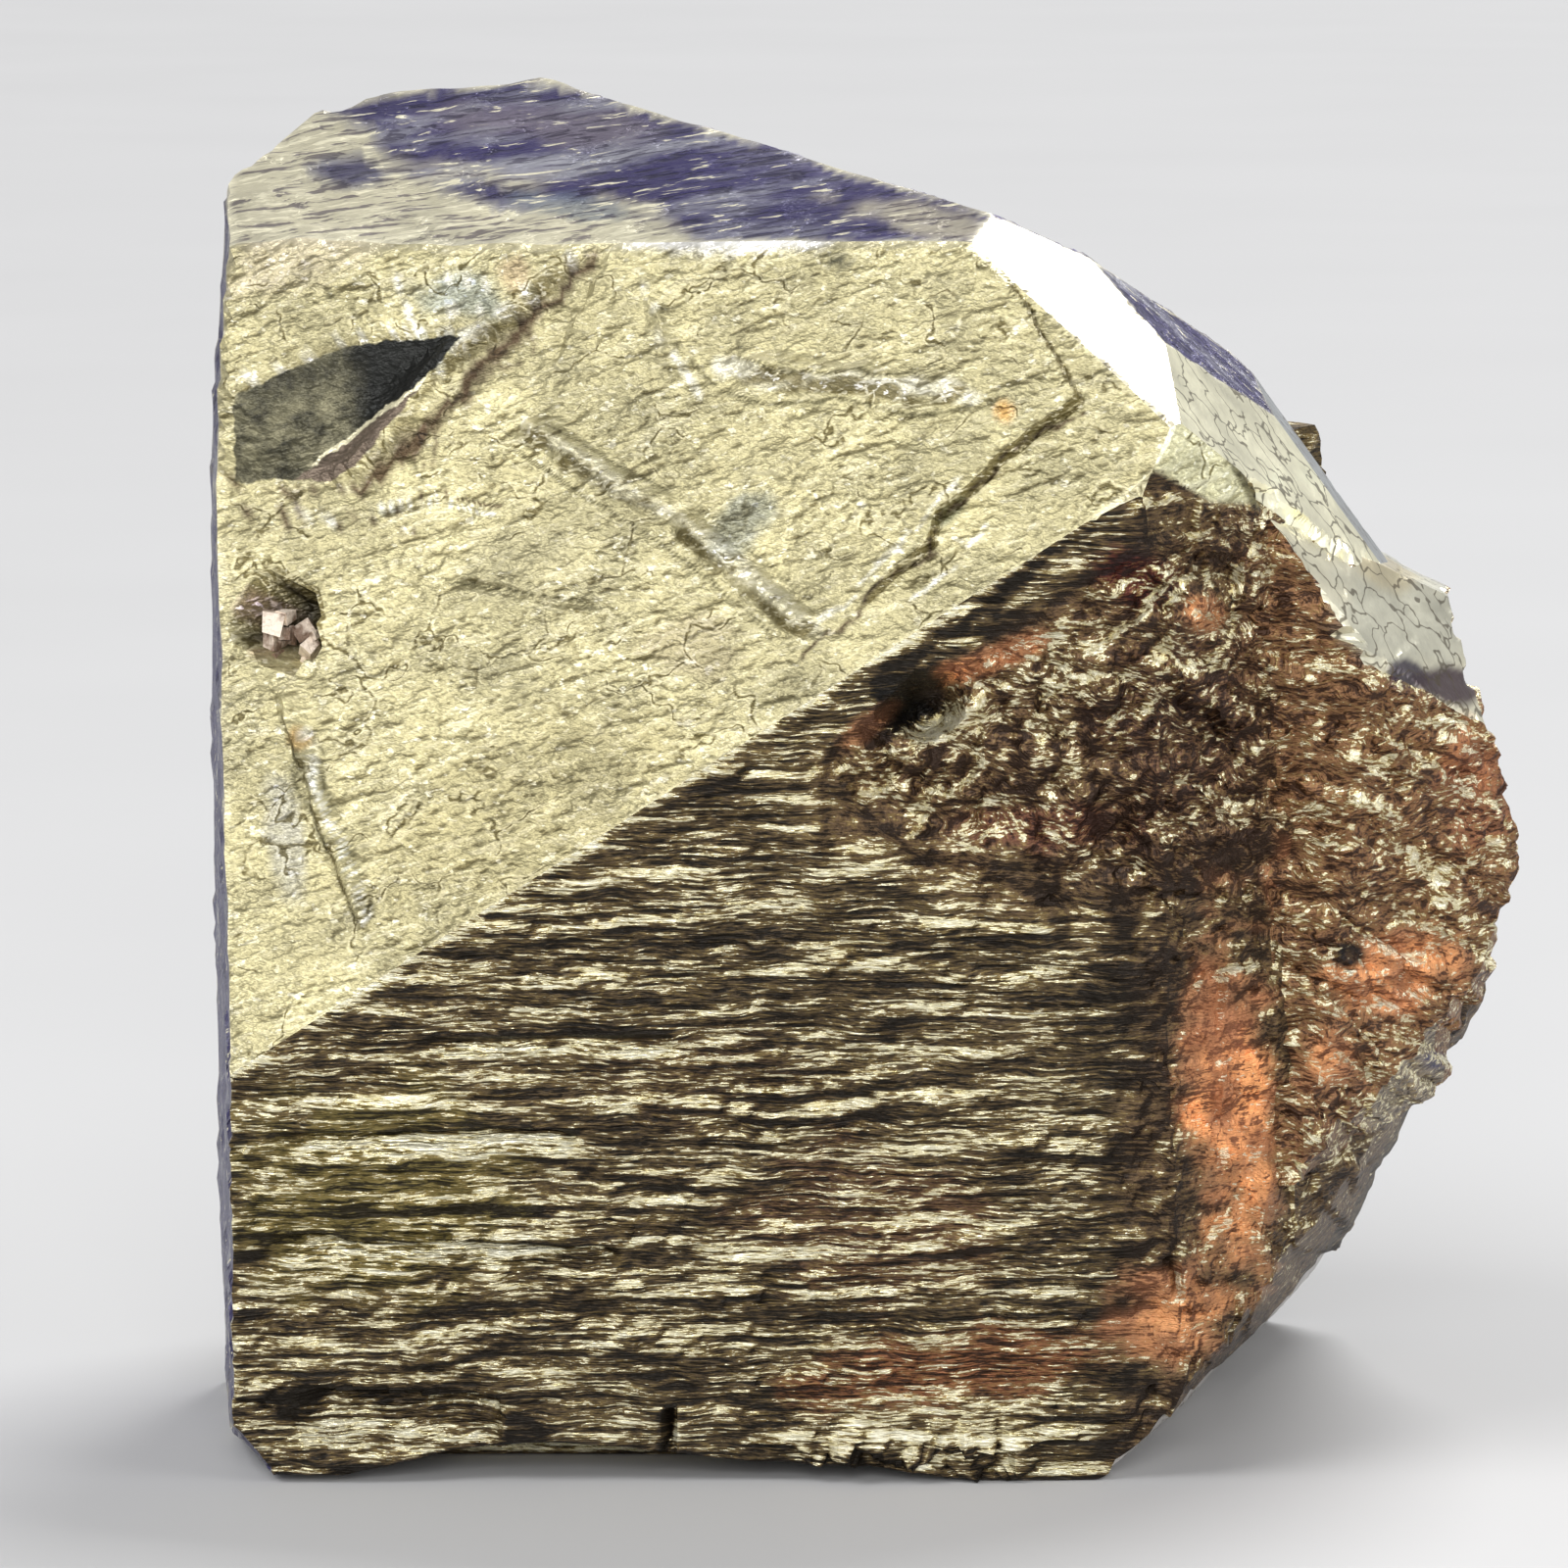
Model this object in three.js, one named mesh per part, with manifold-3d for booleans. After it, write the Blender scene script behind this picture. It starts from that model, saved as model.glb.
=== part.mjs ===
// A hand specimen of pyrite: one mass of intergrown crystals that stands on a flat broken base.
// Millimetres, +Z up, the large striated face towards -Y. The origin is under the middle of the base.
// Every crystal is the space behind its flat faces, and the mass is the union of the crystals.
// Plates, ledges and blocks are joined to the faces; hollows, grooves and a small pocket are cut out.

import * as THREE from 'three';
import { ConvexGeometry } from 'three/addons/geometries/ConvexGeometry.js';
import { mergeVertices } from 'three/addons/utils/BufferGeometryUtils.js';
import Module from 'manifold-3d';

const wasm = await Module();
wasm.setup();

// The point inside every crystal from which its faces are measured.
const CENTRE = new THREE.Vector3(0, 0, 21);

// The point under the middle of the mass, on its base, which becomes the origin of the specimen.
const UNDER_MIDDLE = new THREE.Vector3(-0.25, 2.12, -0.35);

// A face is the azimuth and elevation of its outward normal in degrees (azimuth 0 is +X, -90 is the
// front) and its distance from the centre.
const MAIN_CRYSTAL = {
  front: [-89, -1.5, 15.1],
  octahedral: [-115.5, 33.5, 14.7],
  diagonalBevel: [-98.5, 16, 16.36],
  top: [-120, 71.5, 19.2],
  glint: [-54.5, 60, 20.1],
  cream: [-17, 36.5, 18.8],
  violet: [-6.5, 48, 18.6],
  sliver: [-2.5, 36, 18.4],
  copper: [-43, 1, 17],
  right: [-28.5, -2, 17.3],
  underRight: [-14.5, -32, 21.2],
  footRight: [-14, -47.5, 22.9],
  left: [-175, 0, 22.1],
  leftHigh: [-175, 4.5, 22.8],
  leftLow: [-176, -2.5, 22.8],
  footLeft: [-165, -40, 30.9],
  backLeft: [151.5, -6, 22.1],
  backTop: [97, 15.5, 23.2],
  back: [80, 2, 13.4],
  backSlope: [22.5, 63, 18],
  backRight: [52.5, 19, 12.6],
  base: [0, -90, 21.35],
};

// The smaller crystal that stands out on the right.
const KNOB_CRYSTAL = {
  cap: [5, 63.5, 14.2],
  top: [-26, 33.5, 18.9],
  front: [-45.5, -5.5, 18.3],
  flat: [-90, 0, 10.3],
  right: [-2, 16.5, 20.5],
  rightLow: [-6.5, -15, 21.7],
  under: [-15.5, -21, 21.5],
  underLow: [-25, -34, 20.8],
  back: [70.5, 0, 12.3],
  base: [0, -73.5, 15.8],
  inner: [170, 0, 3],
  innerHigh: [-115.5, 33.5, 10],
};

// Three cube-like crystals that grow through the back of the main one.
const HIGH_TWIN = {
  face: [118, 6, 17.2],
  side: [28, 4, 8.5],
  farSide: [-152, -4, 14.5],
  roof: [-62, 84, 16.4],
  floor: [118, -84, 9],
  inner: [-62, -6, 4],
  innerHigh: [-115.5, 33.5, 10],
};
const LOW_TWIN = {
  face: [78, -4, 16.2],
  side: [-12, 6, 12.2],
  farSide: [168, -6, 8.6],
  roof: [40, 76, 6.6],
  floor: [0, -90, 21.35],
  inner: [-102, 4, 4],
  innerRight: [-43, 1, 11],
  innerLow: [-14.5, -32, 17.5],
};
const SIDE_TWIN = {
  face: [44, 8, 15.4],
  side: [-46, 2, 8],
  farSide: [134, -2, 9],
  roof: [-130, 82, 9.5],
  floor: [44, -82, 11.5],
  inner: [-136, -8, 4],
};

// Relief of the smooth octahedral face. Outlines are (x, z) as seen from the front. A ridge or ledge
// tapers to nothing over this share of its length at each end.
const TAPER = 0.12;
const CORNER_PLATE = { height: 0.7, outline: [[-24, 42], [-9.4, 40], [-9.5, 39.1], [-14.4, 35.8],
  [-16.1, 33], [-17.7, 31.4], [-24, 31.8]] };
const VEE_PLATEAU = { height: 0.45, outline: [[-8.2, 38.9], [-11.4, 33.2], [-6.5, 30.7], [-2, 26.9],
  [0.2, 28.9], [2.1, 30.8], [6.9, 35.2], [3.5, 39.2]] };
const LENS_HOLLOW = { from: [-21.6, 31.9], to: [-14.2, 35.9], width: 3.2, depth: 1.5 };
const FACE_RIDGES = [
  { from: [-11.6, 33.3], to: [-6.4, 30.6], width: 0.9, height: 0.75 },
  { from: [-6.6, 30.8], to: [-1.9, 26.8], width: 0.9, height: 0.75 },
  { from: [-6.3, 35.3], to: [0.4, 34.6], width: 1.1, height: 0.8 },
  { from: [0.2, 34.7], to: [6.5, 34.7], width: 1.2, height: 0.85 },
  { from: [-8.6, 38.9], to: [-6.6, 35], width: 0.7, height: 0.75 },
  { from: [-18.9, 24.2], to: [-19.1, 21.6], width: 1.2, height: 0.45 },
  { from: [-19.1, 21.8], to: [-16.5, 17.6], width: 1, height: 0.4 },
];

// The small pocket in the octahedral face and the crust of crystals in it. The crust fills the pocket
// from this share of its depth down, and its cubes are this many times longer than their edge.
const POCKET = { at: [-19.6, 26.7], across: 3, up: 3.6, depth: 2.3 };
const CRUST_GAP = 0.32;
const CRUST_FLOOR = 0.55;
const CUBE_LENGTH = 1.6;
const CRUST_CUBES = [
  { across: -0.35, up: 0.4, sunk: 0.75, edge: 0.85, turn: 20 },
  { across: -0.4, up: -0.35, sunk: 0.8, edge: 0.75, turn: 50 },
  { across: 0.3, up: -0.55, sunk: 0.9, edge: 0.7, turn: 75 },
];

// Relief of the striated front face.
const FRONT_LEDGES = { x: [-20.4, 8.4], z: [2.2, 25.5], pitch: 1.1, height: 0.4 };
const DIAGONAL = { from: [-20.8, 12.6], to: [9.1, 31.2], clearance: 1.8 };
const FRONT_GROOVES = [
  { from: [-20.3, 11], to: [-9.4, 11.1], width: 0.8, depth: 0.7 },
  { from: [-20.9, 7.35], to: [-8, 7.2], width: 0.9, depth: 0.8 },
  { from: [-15.5, 14.3], to: [-6, 14.4], width: 0.7, depth: 0.55 },
  { from: [-6.8, 0.8], to: [-6.8, 2.9], width: 0.6, depth: 0.7 },
  { from: [-19.6, 2.1], to: [-11.7, 1.9], width: 1.7, depth: 0.9 },
  { from: [-4, 5.4], to: [-4, 10.2], width: 0.35, depth: 0.4 },
];

// Ledges on the back faces, as ranges of x and z.
const BACK_LEDGES = [
  { faces: HIGH_TWIN, name: 'face', x: [-20, -1], z: [15, 36], pitch: 1.9, height: 0.4 },
  { faces: LOW_TWIN, name: 'face', x: [-4, 14], z: [2, 26], pitch: 1.7, height: 0.4 },
  { faces: SIDE_TWIN, name: 'face', x: [5, 17], z: [14, 30], pitch: 1.6, height: 0.35 },
  { faces: MAIN_CRYSTAL, name: 'backLeft', x: [-23, -14], z: [2, 36], pitch: 2.3, height: 0.35 },
  { faces: MAIN_CRYSTAL, name: 'back', x: [-16, 0], z: [3, 14], pitch: 2.1, height: 0.35 },
];

// The low arch that undercuts the front edge of the base, as (x, height above the base), and its depth.
const FOOT_ARCH = { depth: 4.5, outline: [[-24, 0.3], [-17.5, 0.25], [-14.6, 1.05], [-11.8, 1.3],
  [-8.6, 1.15], [-4.2, 0.65], [0.2, 0.5], [3.4, 0]] };

// The rough stepped zone on the right of the front: its dark cavity, the ledges and the blocks.
const CAVITY = { at: [1.6, 25.4], across: 3.4, up: 2.6, depth: 2.6 };
const ZONE_LEDGES = [
  { from: [3.4, 24.6], to: [6.4, 26.3], width: 0.9, height: 0.8 },
  { from: [6.1, 26.2], to: [9.4, 26.2], width: 0.9, height: 0.8 },
  { from: [-1.4, 24], to: [3.8, 21.6], width: 0.7, height: 0.6 },
];
const ROUGH_BLOCKS = {
  count: 46, azimuth: [-84, -8], elevation: [-40, 27], edge: [1.2, 2.8], proud: [0.25, 0.7], sunk: [1, 1.2],
};
const ROUGH_DENTS = {
  count: 18, azimuth: [-78, -12], elevation: [-34, 25], edge: [1, 2], proud: [2, 2.2], sunk: [0.3, 0.6],
};
const KNOB_PLATES = {
  count: 10, azimuth: [-34, 26], elevation: [-30, 14], edge: [1.6, 3.4], proud: [0.15, 0.4], sunk: [1, 1.2],
};
const BACK_PLATES = {
  count: 12, azimuth: [30, 178], elevation: [-36, 36], edge: [2.4, 5], proud: [0.25, 0.5], sunk: [1, 1.2],
};

// How far a scattered block may stand out of the mass, and how far its axis leans off the face's normal.
const MOST_PROUD = 0.6;
const MOST_LEAN = 0.05;

// Small lumps along the foot of the front face, and low ribs on the left of the top face.
const FOOT_LUMPS = { count: 6, from: [-2.6, 0.9], to: [5.8, 1.3], edge: 1.5 };
const TOP_RIBS = { count: 6, first: [-21, 5.5], last: [-15, 13], length: 9, width: 0.9, height: 0.3 };

// The edge of the block that cuts off everything below the base.
const CUTTER = 100;

// The step of an even spread in which no two values in a row are close.
const GOLDEN = 0.618034;

/** The i-th value of an even, unordered spread over a range. */
function spread(i, [low, high], shift = 0) {
  return low + (high - low) * ((i * GOLDEN + shift) % 1);
}

/** A unit vector from an azimuth and an elevation in degrees. */
function direction(azimuth, elevation) {
  const a = THREE.MathUtils.degToRad(azimuth);
  const e = THREE.MathUtils.degToRad(elevation);
  return new THREE.Vector3(Math.cos(e) * Math.cos(a), Math.cos(e) * Math.sin(a), Math.sin(e));
}

/** The plane of a face: its outward normal and its offset from the origin. */
function planeOf([azimuth, elevation, distance]) {
  const normal = direction(azimuth, elevation);
  return { normal, offset: normal.dot(CENTRE) + distance };
}

/** A closed solid from a geometry whose shared corners are merged. */
function solidOf(geometry) {
  const bare = geometry.clone();
  bare.deleteAttribute('normal');
  bare.deleteAttribute('uv');
  const merged = mergeVertices(bare, 1e-4);
  const vertProperties = new Float32Array(merged.attributes.position.array);
  const triVerts = new Uint32Array(merged.index.array);
  return new wasm.Manifold(new wasm.Mesh({ numProp: 3, vertProperties, triVerts }));
}

/** A mesh of a solid, with flat shaded faces. */
function meshOf(solid, name, finish) {
  const { vertProperties, triVerts } = solid.getMesh();
  const geometry = new THREE.BufferGeometry();
  geometry.setAttribute('position', new THREE.BufferAttribute(vertProperties, 3));
  geometry.setIndex(new THREE.BufferAttribute(triVerts, 1));
  geometry.computeVertexNormals();
  const mesh = new THREE.Mesh(geometry, new THREE.MeshStandardMaterial({ ...finish, flatShading: true }));
  mesh.name = name;
  return mesh;
}

/** The point where three planes meet, or null where they are near parallel. */
function meetingPoint(a, b, c) {
  const bc = new THREE.Vector3().crossVectors(b.normal, c.normal);
  const ca = new THREE.Vector3().crossVectors(c.normal, a.normal);
  const ab = new THREE.Vector3().crossVectors(a.normal, b.normal);
  const volume = a.normal.dot(bc);
  if (Math.abs(volume) < 1e-4) {
    return null;
  }
  const sum = bc.multiplyScalar(a.offset);
  sum.addScaledVector(ca, b.offset);
  sum.addScaledVector(ab, c.offset);
  return sum.divideScalar(volume);
}

/** A crystal: the convex solid whose corners are the meeting points that no face cuts off. */
function crystal(faces) {
  const planes = Object.values(faces).map(planeOf);
  const corners = [];
  for (let i = 0; i < planes.length; i += 1) {
    for (let j = i + 1; j < planes.length; j += 1) {
      for (let k = j + 1; k < planes.length; k += 1) {
        const point = meetingPoint(planes[i], planes[j], planes[k]);
        if (point && planes.every(({ normal, offset }) => normal.dot(point) < offset + 1e-5)) {
          corners.push(point);
        }
      }
    }
  }
  return solidOf(new ConvexGeometry(corners));
}

/** The point of a face at (x, z) as seen from the front, or at (x, y) from above where it looks up. */
function onFace(face, [x, s]) {
  const { normal, offset } = planeOf(face);
  if (Math.abs(normal.z) > Math.abs(normal.y)) {
    return new THREE.Vector3(x, s, (offset - normal.x * x - normal.y * s) / normal.z);
  }
  return new THREE.Vector3(x, (offset - normal.x * x - normal.z * s) / normal.y, s);
}

/** Where a ray from the centre leaves the outermost crystal, and the normal of the face there. */
function outerPoint(azimuth, elevation, crystals) {
  const ray = direction(azimuth, elevation);
  let best = null;
  for (const faces of crystals) {
    let exit = null;
    for (const face of Object.values(faces)) {
      const { normal } = planeOf(face);
      const reach = face[2] / normal.dot(ray);
      if (reach > 0 && (!exit || reach < exit.reach)) {
        exit = { reach, normal };
      }
    }
    if (!best || exit.reach > best.reach) {
      best = exit;
    }
  }
  return { point: CENTRE.clone().addScaledVector(ray, best.reach), normal: best.normal };
}

/** Places a geometry modelled along +Z: its origin at a point, +Z along a normal, +X along a side. */
function placed(geometry, point, normal, side) {
  const across = side.clone().addScaledVector(normal, -side.dot(normal)).normalize();
  const up = new THREE.Vector3().crossVectors(normal, across);
  const frame = new THREE.Matrix4().makeBasis(across, up, normal).setPosition(point);
  return solidOf(geometry.applyMatrix4(frame));
}

/** A growth plate: the main crystal with one face moved out, kept only inside an outline. */
function growthPlate(faceName, { height, outline }) {
  const [azimuth, elevation, distance] = MAIN_CRYSTAL[faceName];
  const grown = { ...MAIN_CRYSTAL, [faceName]: [azimuth, elevation, distance + height] };
  const side = Math.max(...outline.map(([x]) => x)) - Math.min(...outline.map(([x]) => x));
  const shape = new THREE.Shape(outline.map(([x, z]) => new THREE.Vector2(x, z)));
  const stamp = new THREE.ExtrudeGeometry(shape, { depth: 2 * side, bevelEnabled: false });
  stamp.rotateX(Math.PI / 2);
  return solidOf(stamp).intersect(crystal(grown));
}

/** A roof-shaped bar on a face, its crest between two points, tapered to nothing at both ends. */
function bar(face, { from, to, width, height }, sunk = 0.4) {
  const { normal } = planeOf(face);
  const start = onFace(face, from);
  const end = onFace(face, to);
  const along = end.clone().sub(start);
  const side = new THREE.Vector3().crossVectors(normal, along).normalize().multiplyScalar(width / 2);
  const corners = [];
  for (const t of [0, TAPER, 1 - TAPER, 1]) {
    const spine = start.clone().addScaledVector(along, t);
    const crest = t > 0 && t < 1 ? height : -sunk / 2;
    corners.push(spine.clone().addScaledVector(normal, crest));
    if (t > 0 && t < 1) {
      corners.push(spine.clone().add(side).addScaledVector(normal, -sunk));
      corners.push(spine.clone().sub(side).addScaledVector(normal, -sunk));
    }
  }
  return solidOf(new ConvexGeometry(corners));
}

/** A groove with a V-shaped section: a bar turned over, to be cut out of a face. */
function groove(face, { from, to, width, depth }) {
  return bar(face, { from, to, width: 1.5 * width, height: -depth }, -0.5 * depth);
}

/** A rounded pit in a face, to be cut out. */
function pit(face, { at, across, up, depth }, shrink = 0) {
  const ball = new THREE.IcosahedronGeometry(1, 1);
  ball.scale(across / 2 - shrink, up / 2 - shrink, depth - shrink);
  return placed(ball, onFace(face, at), planeOf(face).normal, new THREE.Vector3(1, 0, 0));
}

/** The lens-shaped hollow, along the line between two points of a face. */
function lens(face, { from, to, width, depth }) {
  const start = onFace(face, from);
  const end = onFace(face, to);
  const ball = new THREE.SphereGeometry(1, 14, 8);
  ball.rotateX(Math.PI / 2);
  ball.scale(start.distanceTo(end) / 2, width / 2, depth);
  const middle = start.clone().lerp(end, 0.5);
  return placed(ball, middle, planeOf(face).normal, end.clone().sub(start));
}

/** Blocks or plates scattered over a range of directions, each standing a little out of its face. */
function scatter({ count, azimuth, elevation, edge, proud, sunk }, crystals) {
  const blocks = [];
  for (let i = 0; i < count; i += 1) {
    const heading = THREE.MathUtils.lerp(azimuth[0], azimuth[1], (i + 0.5) / count);
    const { point, normal } = outerPoint(heading, spread(i, elevation), crystals);
    const length = spread(i, edge, 0.3);
    const above = spread(i, proud, 0.7);
    const below = spread(i, sunk, 0.7);
    const box = new THREE.BoxGeometry(length, length * spread(i, [0.45, 0.9], 0.5), above + below);
    box.translate(0, 0, (above - below) / 2);
    const lean = direction(spread(i, [0, 360], 0.2), 0).multiplyScalar(MOST_LEAN);
    const tilted = normal.clone().add(lean).normalize();
    const side = new THREE.Vector3(0, 0, 1).applyAxisAngle(tilted, spread(i, [-0.25, 0.25], 0.9));
    blocks.push(placed(box, point, tilted, side));
  }
  return blocks;
}

/** Rows of ledges on an upright face, each in two stretches a quarter pitch apart, kept on the crystal. */
function ledgeRows({ faces, name, x, z: [lowest, highest], pitch, height }, leftAt = () => x[0]) {
  const face = faces[name];
  const bars = [];
  for (let row = 0, z = lowest; z < highest; row += 1, z += pitch) {
    const left = leftAt(z);
    const reach = x[1] - left;
    const first = left + reach * spread(row, [0.02, 0.16]);
    const split = left + reach * spread(row, [0.42, 0.62], 0.4);
    const last = left + reach * spread(row, [0.86, 0.99], 0.1);
    const rise = height * spread(row, [0.6, 1.2], 0.2);
    const drop = spread(row, [-0.12, 0.12], 0.6);
    const width = 0.68 * pitch;
    const next = z + 0.25 * pitch;
    bars.push({ from: [first, z], to: [split, z + drop], width, height: rise });
    bars.push({ from: [split, next], to: [last, next + drop], width, height: 0.8 * rise });
  }
  const [azimuth, elevation, distance] = face;
  const grown = crystal({ ...faces, [name]: [azimuth, elevation, distance + 2 * height] });
  return wasm.Manifold.union(bars.map((ledge) => bar(face, ledge))).intersect(grown);
}

/** The ledges of the striated front face, in rows that start at the diagonal edge. */
function frontLedges() {
  const [x0, z0] = DIAGONAL.from;
  const [x1, z1] = DIAGONAL.to;
  const slope = (x1 - x0) / (z1 - z0);
  const leftAt = (z) => Math.max(FRONT_LEDGES.x[0], x0 + slope * (z - z0 + DIAGONAL.clearance));
  return ledgeRows({ faces: MAIN_CRYSTAL, name: 'front', ...FRONT_LEDGES }, leftAt);
}

/** The mass with every face moved out a little, which keeps the scattered blocks from standing out. */
function grownMass(crystals, growth) {
  const grown = crystals.map((faces) => {
    const moved = Object.entries(faces).map(([name, [a, e, distance]]) => [name, [a, e, distance + growth]]);
    return crystal(Object.fromEntries(moved));
  });
  return wasm.Manifold.union(grown);
}

/** The low arch under the front edge, to be cut out above the base. */
function footArch({ outline, depth }) {
  const [first] = outline;
  const last = outline[outline.length - 1];
  const rim = [[first[0], -1], ...outline, [last[0], -1]];
  const shape = new THREE.Shape(rim.map(([x, z]) => new THREE.Vector2(x, z + UNDER_MIDDLE.z)));
  const wedge = new THREE.ExtrudeGeometry(shape, { depth: 2 * depth, bevelEnabled: false });
  wedge.rotateX(Math.PI / 2);
  wedge.translate(0, onFace(MAIN_CRYSTAL.front, first).y + depth, 0);
  return solidOf(wedge);
}

/** Small lumps in a row along the foot of the front face. */
function footLumps({ count, from, to, edge }) {
  const lumps = [];
  for (let i = 0; i < count; i += 1) {
    const t = i / (count - 1);
    const x = THREE.MathUtils.lerp(from[0], to[0], t);
    const z = THREE.MathUtils.lerp(from[1], to[1], t);
    const lump = new THREE.IcosahedronGeometry(spread(i, [0.45, 0.6]) * edge, 0);
    lump.rotateY(i);
    lump.scale(1.3, 0.8, 0.7);
    const point = onFace(MAIN_CRYSTAL.front, [x, z]);
    lumps.push(placed(lump, point, planeOf(MAIN_CRYSTAL.front).normal, new THREE.Vector3(1, 0, 0)));
  }
  return lumps;
}

/** Low ribs side by side on the left of the top face. */
function topRibs({ count, first, last, length, width, height }) {
  const ribs = [];
  for (let i = 0; i < count; i += 1) {
    const x = THREE.MathUtils.lerp(first[0], last[0], i / (count - 1));
    const y = THREE.MathUtils.lerp(first[1], last[1], i / (count - 1));
    const end = [x + length * spread(i, [0.7, 1]), y + spread(i, [-0.8, 0.2])];
    ribs.push(bar(MAIN_CRYSTAL.top, { from: [x, y], to: end, width, height }));
  }
  return ribs;
}

/** The whole crystal mass as one solid: crystals and relief joined, hollows and the base cut off. */
function pyriteMass() {
  const crystals = [MAIN_CRYSTAL, KNOB_CRYSTAL, HIGH_TWIN, LOW_TWIN, SIDE_TWIN];
  const { front, octahedral } = MAIN_CRYSTAL;
  const scattered = [
    ...scatter(ROUGH_BLOCKS, crystals),
    ...scatter(KNOB_PLATES, crystals),
    ...scatter(BACK_PLATES, crystals),
  ];
  const blocks = wasm.Manifold.union(scattered).intersect(grownMass(crystals, MOST_PROUD));
  const joined = [
    ...crystals.map(crystal),
    growthPlate('octahedral', CORNER_PLATE),
    growthPlate('octahedral', VEE_PLATEAU),
    ...FACE_RIDGES.map((ridge) => bar(octahedral, ridge)),
    frontLedges(),
    ...BACK_LEDGES.map((rows) => ledgeRows(rows)),
    ...ZONE_LEDGES.map((ledge) => bar(front, ledge)),
    blocks,
    ...footLumps(FOOT_LUMPS),
    ...topRibs(TOP_RIBS),
  ];
  const cut = [
    lens(octahedral, LENS_HOLLOW),
    pit(octahedral, POCKET),
    pit(front, CAVITY),
    ...FRONT_GROOVES.map((line) => groove(front, line)),
    ...scatter(ROUGH_DENTS, crystals),
    footArch(FOOT_ARCH),
  ];
  const below = new THREE.BoxGeometry(CUTTER, CUTTER, CUTTER).translate(0, 0, UNDER_MIDDLE.z - CUTTER / 2);
  return wasm.Manifold.union(joined).subtract(wasm.Manifold.union([...cut, solidOf(below)]));
}

/** The crust of small blocky crystals in the deep half of the pocket, clear of its wall. */
function pocketCrust() {
  const face = MAIN_CRYSTAL.octahedral;
  const { normal } = planeOf(face);
  const side = new THREE.Vector3(1, 0, 0);
  const mouth = onFace(face, POCKET.at);
  const cavity = pit(face, POCKET, CRUST_GAP);
  const edge = 2 * POCKET.up;
  const floor = new THREE.BoxGeometry(edge, edge, edge);
  floor.translate(0, 0, -edge / 2 - CRUST_FLOOR * POCKET.depth);
  const cubes = CRUST_CUBES.map((cube) => {
    const length = CUBE_LENGTH * cube.edge;
    const block = new THREE.BoxGeometry(cube.edge, cube.edge, length);
    block.rotateZ(THREE.MathUtils.degToRad(cube.turn));
    block.translate(cube.across, cube.up, -cube.sunk - length / 4);
    return placed(block, mouth, normal, side);
  });
  const crust = wasm.Manifold.union([placed(floor, mouth, normal, side), ...cubes]);
  return crust.intersect(cavity);
}

const specimen = new THREE.Group();
specimen.add(meshOf(pyriteMass(), 'pyrite_crystal', { color: 0x9a8a5c, roughness: 0.34, metalness: 0.85 }));
specimen.add(meshOf(pocketCrust(), 'pocket_crystals', { color: 0xc9b7a4, roughness: 0.4, metalness: 0.4 }));
specimen.position.copy(UNDER_MIDDLE).negate();

export default specimen;
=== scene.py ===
"""The looks of a hand specimen of pyrite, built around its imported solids.

Crystals are worked out in millimetres, with a length across (x), a depth (y, the camera looks along
+y) and a height (z), in the crystal frame of the part's source. A finished mesh is in metres in the
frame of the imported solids.
"""

import logging
import math
from collections.abc import Sequence
from dataclasses import dataclass, field
from enum import Enum

import bpy
import numpy as np
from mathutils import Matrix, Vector


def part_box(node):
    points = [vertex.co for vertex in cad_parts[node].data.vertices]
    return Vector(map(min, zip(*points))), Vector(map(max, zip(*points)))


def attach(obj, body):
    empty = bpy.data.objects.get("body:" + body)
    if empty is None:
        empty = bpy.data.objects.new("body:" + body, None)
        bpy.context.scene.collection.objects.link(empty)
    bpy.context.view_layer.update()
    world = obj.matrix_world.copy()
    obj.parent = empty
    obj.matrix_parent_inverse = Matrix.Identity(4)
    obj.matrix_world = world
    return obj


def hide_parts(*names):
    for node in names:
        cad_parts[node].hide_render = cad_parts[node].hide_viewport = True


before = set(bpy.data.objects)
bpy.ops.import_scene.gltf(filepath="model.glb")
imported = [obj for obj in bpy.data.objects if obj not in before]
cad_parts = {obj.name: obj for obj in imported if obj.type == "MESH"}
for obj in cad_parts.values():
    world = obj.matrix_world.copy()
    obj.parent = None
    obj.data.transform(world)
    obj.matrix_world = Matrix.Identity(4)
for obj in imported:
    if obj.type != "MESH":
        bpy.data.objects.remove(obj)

LOG = logging.getLogger("specimen")
Array = np.ndarray
Colour = tuple[float, float, float]
Pair = tuple[float, float]
Triple = tuple[float, float, float]

MM = 0.001

# In the crystal frame: where facets are measured from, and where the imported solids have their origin.
CENTRE = np.array([0.0, 0.0, 21.0])
UNDER_MIDDLE = np.array([-0.25, 2.12, -0.35])

# The camera, in the frame of the solids: what it looks at, its height angle, how far off it stands, how
# much it sees across at the target, and its sensor's width.
VIEW_TARGET = np.array([-2.68, -2.12, 20.95])
VIEW_ELEVATION = 8.0
VIEW_DISTANCE = 300.0
VIEW_WIDTH = 53.33
SENSOR = 36.0

# The view's places, from -50 to 50 mm, are kept on a mesh as 0 to 1.
SEEN_SCALE = 100.0

# Direction of the painted light: relief that leans towards it is painted brighter, and relief that leans away
# darker.
LIGHT_FROM = np.array([-0.45, -0.25, 0.86])

# A facet with a lower height angle than this, in degrees, is a flat base.
BASE_BELOW = -80.0

# A ray that leans to a facet's normal by less than this never ends on that facet.
LEAST_LEAN = 0.12

# The farthest that a ray moves to an edge between facets, as a share of the net's step.
FARTHEST_SNAP = 0.48


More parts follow.
